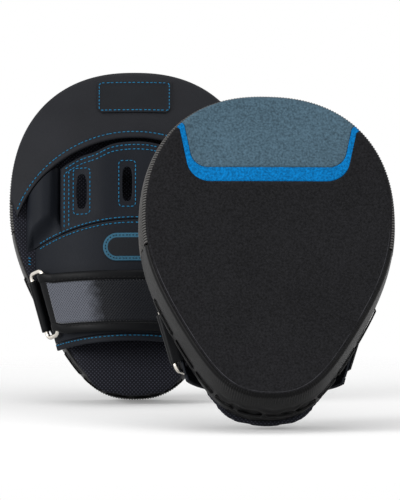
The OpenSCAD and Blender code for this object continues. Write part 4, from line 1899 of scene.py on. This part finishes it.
        bm = self.shop.cut(50, 20, top)
        self.shop.thicken(bm, under)
        bm = self.shop.inflate(bm, voxel=2.6, pressure=4.0, cap=5.0,
                               held=lambda p: self.pad.unbend(p).y < base + self.heel_sewn)
        pillow = Piece("heel_pillow", Slot.PERFORATED, Finishes.DOTTED, ("heel_cushion",),
                       levels=1, fill=0.75)
        self.shop.put(bm, pillow)

    def palm(self) -> None:
        """Raised ball under the palm."""
        bm, base = bmesh.new(), self.glove.gap
        centre = Matrix.Translation((0, base + self.palm_h - self.palm_r, 0))
        bmesh.ops.create_uvsphere(bm, u_segments=40, v_segments=24, radius=self.palm_r,
                                  matrix=centre @ Matrix.Rotation(math.pi / 2, 4, "X"))
        cut = bmesh.ops.bisect_plane(bm, geom=bm.verts[:] + bm.edges[:] + bm.faces[:], plane_co=(0, base, 0),
                                     plane_no=(0, 1, 0), clear_inner=True)
        bmesh.ops.edgeloop_fill(bm, edges=[e for e in cut["geom_cut"] if isinstance(e, bmesh.types.BMEdge)])
        self.shop.even_normals(bm)
        self.shop.map_cloth(bm)
        self.shop.put(bm, Piece("palm_pillow", Slot.GLOVE, Finishes.GLOVE, ("palm_ball",), fill=0.9))

    @staticmethod
    def frame_run(x: float, s: float, half_w: float, half_l: float, r: float, step: int = 15) -> Run:
        """Closed rounded frame in the flat layout.

        Args:
            x: its middle across.
            s: its middle along.
            half_w: half its width.
            half_l: half its length.
            r: corner radius.
            step: angle from point to point in a corner.

        Returns:
            The frame.
        """
        points = []
        for cx, cs, start in ((1, 1, 0), (-1, 1, 90), (-1, -1, 180), (1, -1, 270)):
            for dx, ds in (on_circle(r, a) for a in range(start, start + 91, step)):
                points.append((x + cx * (half_w - r) + dx, s + cs * (half_l - r) + ds))
        return Run(points + points[:1])

    def stitching(self) -> None:
        """Blue stitches of the glove, and dark ones on the hand's patch."""
        def over(d: float) -> Height:
            """Height of the arch offset by d."""
            return lambda x, s: self.glove.over(x, s, d)

        def over_knuckles(x: float, s: float) -> float:
            """Height of the knuckle panel."""
            return self.glove.over(x, s, self.finger_swell(x, s) + 0.05)

        def over_hood(lift: float) -> Height:
            """Height over the hood."""
            return lambda x, s: self.hood_y(x, s) + lift

        hem = Run([self.hood_flat(q, self.glove.hem_w - 0.5) for q in steps(0.02, 0.98, 80)])
        runs = [(hem, over_hood(0.85))]
        columns = [off - self.knuckle_edge for off in self.stitch_columns]
        right, reach, cuff_reach, inset, above, below = 74.0, 75.0, 62.0, 1.8, 4.0, 6.0
        for off in self.stitch_rows:
            row = Run.over(lambda x, off=off: self.knuckle_top(x) - off, columns[0], right)
            runs.append((row, over_knuckles))
        for x in columns:
            column = Run([(x, self.seam_at(x) + above), (x, self.knuckle_top(x) - below)])
            runs.append((column, over_knuckles))
        for x, s in self.slot_spots():
            runs.append((self.frame_run(x, s, *self.slot_frame), over_knuckles))
        for off, height in zip(self.seam_rows, (over_knuckles, over(0.05))):
            runs.append((Run.over(lambda x, off=off: self.seam_at(x) + off, -reach, reach), height))
        for s in self.tack_s:
            runs.append((Run([(self.tack_x[0], s), (self.tack_x[1], s - 1.4)]), lambda x, s: 0.15))
        middle = self.pad.top - self.label_drop - self.label_l / 2
        patch = self.frame_run(0.0, middle, self.label_w / 2 - inset, self.label_l / 2 - inset, 2.4)
        runs.append((patch, over_hood(1.7)))
        runs.append((Run.over(self.cuff_edge(1.9), -cuff_reach, cuff_reach), over(0.55)))
        self.shop.put(self.shop.sew(runs), Piece("blue_stitching", Slot.BLUE, Finishes.BLUE_THREAD))
        r, straight = self.oval_l / 2 - inset, self.oval_w / 2 - self.oval_l / 2
        rim = [(end * straight + x, self.oval_s + s) for end, first in ((1, -90), (-1, 90))
               for x, s in (on_circle(r, a) for a in range(first, first + 181, 10))]
        bm = self.shop.sew([(Run(rim + rim[:1]), over(self.glove.gap + 1.0))], 2.6, 1.7, 0.8, 0.6)
        self.shop.put(bm, Piece("patch_stitching", Slot.BLUE, Finishes.DARK_THREAD))


@dataclass
class WristStrap(Maker):
    """Sewn strap, loop band, flap round the ring, hook patch and ring tab."""

    strap_t: float = 1.6
    loop_t: float = 1.8
    hook_t: float = 1.6
    flap_reach: float = 38.0
    fold_share: float = 0.16
    fold_turn: Pair = (250.0, 90.0)
    wire_r: float = 1.75
    ring_w: float = 15.0
    ring_foot: float = 3.0
    ring_lift: float = 2.5
    bar_gap: float = 0.3
    tab_l: float = 41.0
    tab_reach: float = 16.0
    band: float = 7.0
    band_h: float = 0.75
    band_span: Pair = (0.12, 0.995)
    field_l: float = 90.0
    field_w: float = 34.0
    field_h: float = 0.5
    field_edge: float = 1.2
    field_span: Pair = (0.2, 0.965)

    def build(self) -> None:
        """Makes every piece of the strap."""
        for make in (self.layers, self.flap, self.bindings, self.tab):
            make()

    def line(self, t: float) -> float:
        """Length coordinate at a share of the strap's width."""
        return self.glove.strap_s + self.glove.strap_w * (t - 0.5)

    @property
    def loop_d(self) -> float:
        """Offset of the loop band's inner face."""
        return 2 * self.glove.gap + self.strap_t

    @property
    def hook_d(self) -> float:
        """Offset of the hook patch's inner face."""
        return self.loop_d + self.loop_t + self.glove.gap

    @property
    def flap_d(self) -> float:
        """Offset of the flap's inner face."""
        return self.hook_d + self.hook_t + self.glove.gap

    @property
    def bar_d(self) -> float:
        """Offset of the ring's bars."""
        return self.flap_d - self.wire_r

    def from_foot(self, s: float, run: float) -> float:
        """Angle of the arch at a run from the cuff's foot."""
        return math.degrees(run / (self.glove.arc_r(s) + self.bar_d)) - self.glove.foot(s, 0.0, 0.0)

    def past_bar(self, s: float, run: float) -> float:
        """Angle of the arch at a run past the outer bar."""
        return self.from_foot(s, self.ring_foot + self.ring_w + run)

    def bar_spot(self, s: float, run: float) -> Vector:
        """Flat place of a bar at a run from the cuff's foot."""
        return Vector(self.glove.arch(self.from_foot(s, run), s, self.bar_d))

    def ring_frame(self) -> tuple[Matrix, Matrix, float]:
        """Place of the ring's inner bar.

        Returns:
            The tab's frame there, the ring's own, turned to the outer bar, and the bar's height.
        """
        low, high = (self.bar_spot(self.line(t), self.ring_foot) for t in (0, 1))
        middle, s = (low + high) / 2, self.glove.strap_s
        tilt = math.atan((low.x - high.x) / self.glove.strap_w)
        step = self.bar_spot(s, self.ring_foot + self.ring_w) - self.bar_spot(s, self.ring_foot)
        lean, turn = Matrix.Rotation(s / self.pad.bend_r, 4, "X"), Matrix.Rotation(-tilt, 4, "Y")
        tab = Matrix.Translation(self.pad.bend(*middle)) @ lean @ turn
        lift = math.atan2(step.y, step.x) + math.radians(self.ring_lift)
        return tab, tab @ Matrix.Rotation(lift, 4, "Z"), middle.y

    def layers(self) -> None:
        """Sewn strap, the loop band on it and the hook patch of the flap."""
        glove, start = self.glove, self.wire_r + self.strap_t
        sewn = Piece("strap_webbing", Slot.WEBBING, Finishes.WEBBING, ("wrist_strap",),
                     wall=self.strap_t, edge=0.4)
        loop = Piece("strap_loop_band", Slot.LOOP, Finishes.LOOP, ("loop_patch",), wall=self.loop_t, edge=0.5)
        hook = Piece("flap_hook_band", Slot.HOOK, Finishes.HOOK, ("hook_patch",), Body.FLAP, self.hook_t, 0.4)
        for piece, cols, rows, d, inset, first, last in (
            (sewn, 90, 20, glove.gap, 0.0, start + 1.5, lambda s: glove.foot(s, glove.gap, glove.gap)),
            (loop, 80, 18, self.loop_d, 3.0, start + 4, lambda s: glove.arch_at(self.flap_reach + 8, s)),
            (hook, 70, 18, self.hook_d, 4.0, 24.0, lambda s: glove.arch_at(self.flap_reach - 3, s)),
        ):
            self.shop.panel(piece, cols, rows, *self.arched(
                d + piece.wall,
                lambda x, inset=inset: self.line(0) + inset, lambda x, inset=inset: self.line(1) - inset,
                lambda s, first=first: self.past_bar(s, first), last))

    def flap_spot(self, r_off: float) -> Spot:
        """Surface of the flap.

        Args:
            r_off: offset from its inner face.

        Returns:
            The surface by its share along and its share of the width.
        """
        ring = self.ring_frame()[1]
        r, join, near = self.wire_r + self.bar_gap + r_off, 0.1, 117.0

        def spot(u: float, t: float) -> Vector:
            """From under the outer bar, round it, and along the wrist.

            Args:
                u: share along.
                t: share across.

            Returns:
                Its place.
            """
            z, s = self.glove.strap_w * (t - 0.5), self.line(t)
            v = (u - self.fold_share) / (1 - self.fold_share)
            if v < 0:
                x, y = on_circle(r, mix(*self.fold_turn, u / self.fold_share))
                return ring @ Vector((self.ring_w + x, y, z))
            angle = mix(self.past_bar(s, 0.0), self.glove.arch_at(self.flap_reach, s), v)
            laid = self.pad.bend(*self.glove.arch(angle, s, self.flap_d + r_off))
            straight = ring @ Vector((self.ring_w + v * near, r, z))
            return straight.lerp(laid, smooth(v / join))

        return spot

    def flap(self) -> None:
        """Flap of leather with a loop band let in between two bindings."""
        outer, raised = self.flap_spot(self.strap_t), self.flap_spot(self.strap_t + self.field_h)
        share, wall = self.band / self.glove.strap_w, self.strap_t

        def field(u: float, t: float) -> Vector:
            """Loop band on the flap, its edges drawn down.

            Args:
                u: share along.
                t: share across.

            Returns:
                Its place.
            """
            near = min(min(t, 1 - t) * self.field_w, min(u, 1 - u) * self.field_l)
            spot = mix(*self.field_span, u), mix(share, 1 - share, t)
            return outer(*spot).lerp(raised(*spot), smooth(near / self.field_edge))

        piece = Piece("flap_leather", Slot.WEBBING, Finishes.BINDING, ("strap_flap",), Body.FLAP, wall, 0.4)
        self.shop.panel(piece, 130, 24, outer, lambda u, t: (u * 130, t * self.glove.strap_w))
        piece = Piece("flap_loop_field", Slot.LOOP, Finishes.LOOP, (), Body.FLAP, 0.8)
        self.shop.panel(piece, 110, 26, field, lambda u, t: (u * 100, t * 35))

    def bindings(self) -> None:
        """Folded leather bands along both edges of the flap, with dark stitches."""
        share, parts, lines = self.band / self.glove.strap_w, [], []
        beyond, within, seam = -0.012, share * 0.93, share * 0.72
        for upper in (False, True):
            def rolled(u: float, t: float, upper: bool = upper) -> Vector:
                """Folded leather band along one edge of the flap.

                Args:
                    u: share along.
                    t: share across.
                    upper: whether it is the upper edge.

                Returns:
                    Its place.
                """
                reach = mix(beyond, within, t)
                lift = self.strap_t + self.band_h * math.sin(math.pi * min(1.0, t * 1.04)) ** 0.5
                return self.flap_spot(lift)(mix(*self.band_span, u), 1 - reach if upper else reach)

            parts.append(self.shop.cut(110, 8, rolled, lambda u, t: (u * 110, t * 7)))
            self.shop.face_out(parts[-1], over_hand)
            s = self.line(1 - seam if upper else seam)
            turns = steps(self.past_bar(s, 8.0), self.glove.arch_at(self.flap_reach - 2, s), 40)
            lines.append((Run([(self.glove.arch(a, s, 0.0)[0] * 1.05, s) for a in turns]),
                          lambda x, s: self.glove.over(x, s, self.flap_d + self.strap_t + 0.7)))
        piece = Piece("flap_bindings", Slot.BINDING, Finishes.BINDING, (), Body.FLAP, 0.7)
        self.shop.put(self.shop.joined(parts), piece)
        piece = Piece("flap_stitching", Slot.LACE, Finishes.DARK_THREAD, (), Body.FLAP)
        self.shop.put(self.shop.sew(lines, 4.0, 2.9, 0.9, 0.6), piece)

    def tab(self) -> None:
        """Webbing tab sewn under the cuff, with its eye round the inner bar."""
        frame, _, bar_y = self.ring_frame()
        r, floor = self.wire_r + self.bar_gap + self.strap_t, self.glove.gap - bar_y
        tail = [(self.tab_reach - i * 2.0, floor) for i in range(7)]
        path = Run(tail + [on_circle(r, a) for a in range(250, -61, -10)])

        def spot(u: float, t: float) -> Vector:
            """Along the tail and round the eye."""
            return frame @ Vector((*path.at(u), self.tab_l * (t - 0.5)))

        wall = self.strap_t
        piece = Piece("ring_webbing", Slot.WEBBING, Finishes.BINDING, ("ring_tab",), wall=wall, edge=0.3)
        self.shop.panel(piece, 60, 16, spot, lambda u, t: (u * path.length, t * self.tab_l),
                        lambda p: p - frame.translation)


@dataclass(frozen=True)
class Studio:
    """Camera, lights, world and floor; sizes in metres."""

    target: Triple = (-0.05, 0.0, 0.0125)
    elevation: float = 3.5
    distance: float = 12.0
    frame_height: float = 0.3876
    sensor: float = 36.0
    lit: Triple = (-0.05, 0.1, 0.0)
    ambient: float = 0.48
    floor_r: float = 0.75
    floor_y: float = 0.1

    def build(self, floor_z: float) -> None:
        """Sets up everything round the object.

        Args:
            floor_z: height of the floor.
        """
        self.camera()
        self.lights()
        self.world()
        self.floor(floor_z)
        bpy.context.scene.view_settings.view_transform = "Standard"

    def camera(self) -> None:
        """Long lens at the photograph's angle."""
        data = bpy.data.cameras.new("camera")
        data.sensor_width = self.sensor
        data.lens = self.sensor * self.distance / self.frame_height
        data.clip_end = 100.0
        camera = link("camera", data)
        a = math.radians(self.elevation)
        back = Vector((0.0, -math.cos(a), math.sin(a)))
        camera.location = Vector(self.target) + back * self.distance
        aim(camera, -back)
        bpy.context.scene.camera = camera

    def lights(self) -> None:
        """Large soft lamps from the left, the right and above."""
        for name, spot, size, power in (
            ("left_lamp", (-2.1, -1.0, 0.7), 1.0, 34.0),
            ("right_lamp", (1.5, -1.7, 0.9), 1.4, 17.0),
            ("top_lamp", (0.0, -0.6, 2.0), 1.6, 8.0),
        ):
            data = bpy.data.lights.new(name, "AREA")
            data.shape, data.size, data.energy = "SQUARE", size, power
            lamp = link(name, data)
            lamp.location = spot
            aim(lamp, Vector(self.lit) - Vector(spot))

    def world(self) -> None:
        """White to the camera and in reflections, soft grey as light."""
        world = bpy.data.worlds.new("studio")
        bpy.context.scene.world = world
        graph = Graph(world)
        path = graph.node("LightPath").outputs
        direct = path["Is Camera Ray"]
        for name in ("Is Glossy Ray", "Is Transmission Ray"):
            direct = graph.math("MAXIMUM", direct, path[name])
        graph.set(Color=(1.0, 1.0, 1.0, 1.0))
        graph.feed("Strength", graph.between(direct, 0.0, 1.0, (self.ambient, 1.0)))

    def floor(self, z: float) -> None:
        """Pale round floor that keeps the shadow and fades into the white.

        Args:
            z: height of the floor.
        """
        bm = bmesh.new()
        bmesh.ops.create_circle(bm, cap_ends=True, segments=96, radius=self.floor_r)
        floor = link("floor", spent(bm, "floor"))
        floor.location = (self.target[0], self.floor_y, z)
        material = bpy.data.materials.new("pale_floor")
        graph = Graph(material)
        graph.set(Base_Color=(0.95, 0.95, 0.95, 1.0), Roughness=0.9, Specular_IOR_Level=0.0,
                  Emission_Color=(1.0, 1.0, 1.0, 1.0))
        seen = graph.node("LightPath").outputs["Is Camera Ray"]
        graph.feed("Emission Strength", graph.math("MULTIPLY", seen, 0.2))
        far = graph.vector("LENGTH", in0=graph.place()).outputs["Value"]
        share = graph.between(far, 0.3 * self.floor_r, 0.95 * self.floor_r)
        clear = graph.node("BsdfTransparent").outputs[0]
        faded = graph.node("MixShader", in0=share, in1=graph.shader.outputs[0], in2=clear)
        output = next(n for n in graph.tree.nodes if n.type == "OUTPUT_MATERIAL")
        graph.tree.links.new(faded.outputs[0], output.inputs["Surface"])
        floor.data.materials.append(material)
        floor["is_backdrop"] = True


def mitt_places(record: dict) -> dict[Side, tuple[Matrix, bool]]:
    """Place of each mitt in the frame.

    Args:
        record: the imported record, whose mounts say where each mitt's back is.

    Returns:
        Each mitt's matrix, and whether it is a mirror image.
    """
    front_lean, rear_lean, turn = math.radians(-22.0), math.radians(-12.0), math.radians(4.0)
    seats = {m["name"]: Matrix.Translation(m["pos_m"]) for m in record["mounts"]}
    front = seats["front_hand_seat"] @ Matrix.Rotation(front_lean, 4, "X") @ Matrix.Rotation(turn, 4, "Z")
    rear = seats["rear_hand_seat"] @ Matrix.Rotation(rear_lean, 4, "X") @ Matrix.Scale(-1, 4, (0, 1, 0))
    return {Side.FRONT: (front, False), Side.REAR: (rear, True)}


def main() -> None:
    """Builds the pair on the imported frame, and the studio round it."""
    logging.basicConfig(level=logging.INFO, format="%(message)s")
    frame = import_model()
    cad_low, cad_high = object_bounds()
    Studio().build(cad_low.z - 0.001)
    shop = Workshop(PadForm(), GloveForm(), mitt_places(frame["record"]))
    for made in (StrikingPad, HandGlove, WristStrap):
        made(shop).build()
    for side in Side:
        ring = frame["nodes"][f"{side.value}_ring"]
        ring.data.materials.clear()
        ring.data.materials.append(Finishes.STEEL.material())


if __name__ == "__main__":
    main()
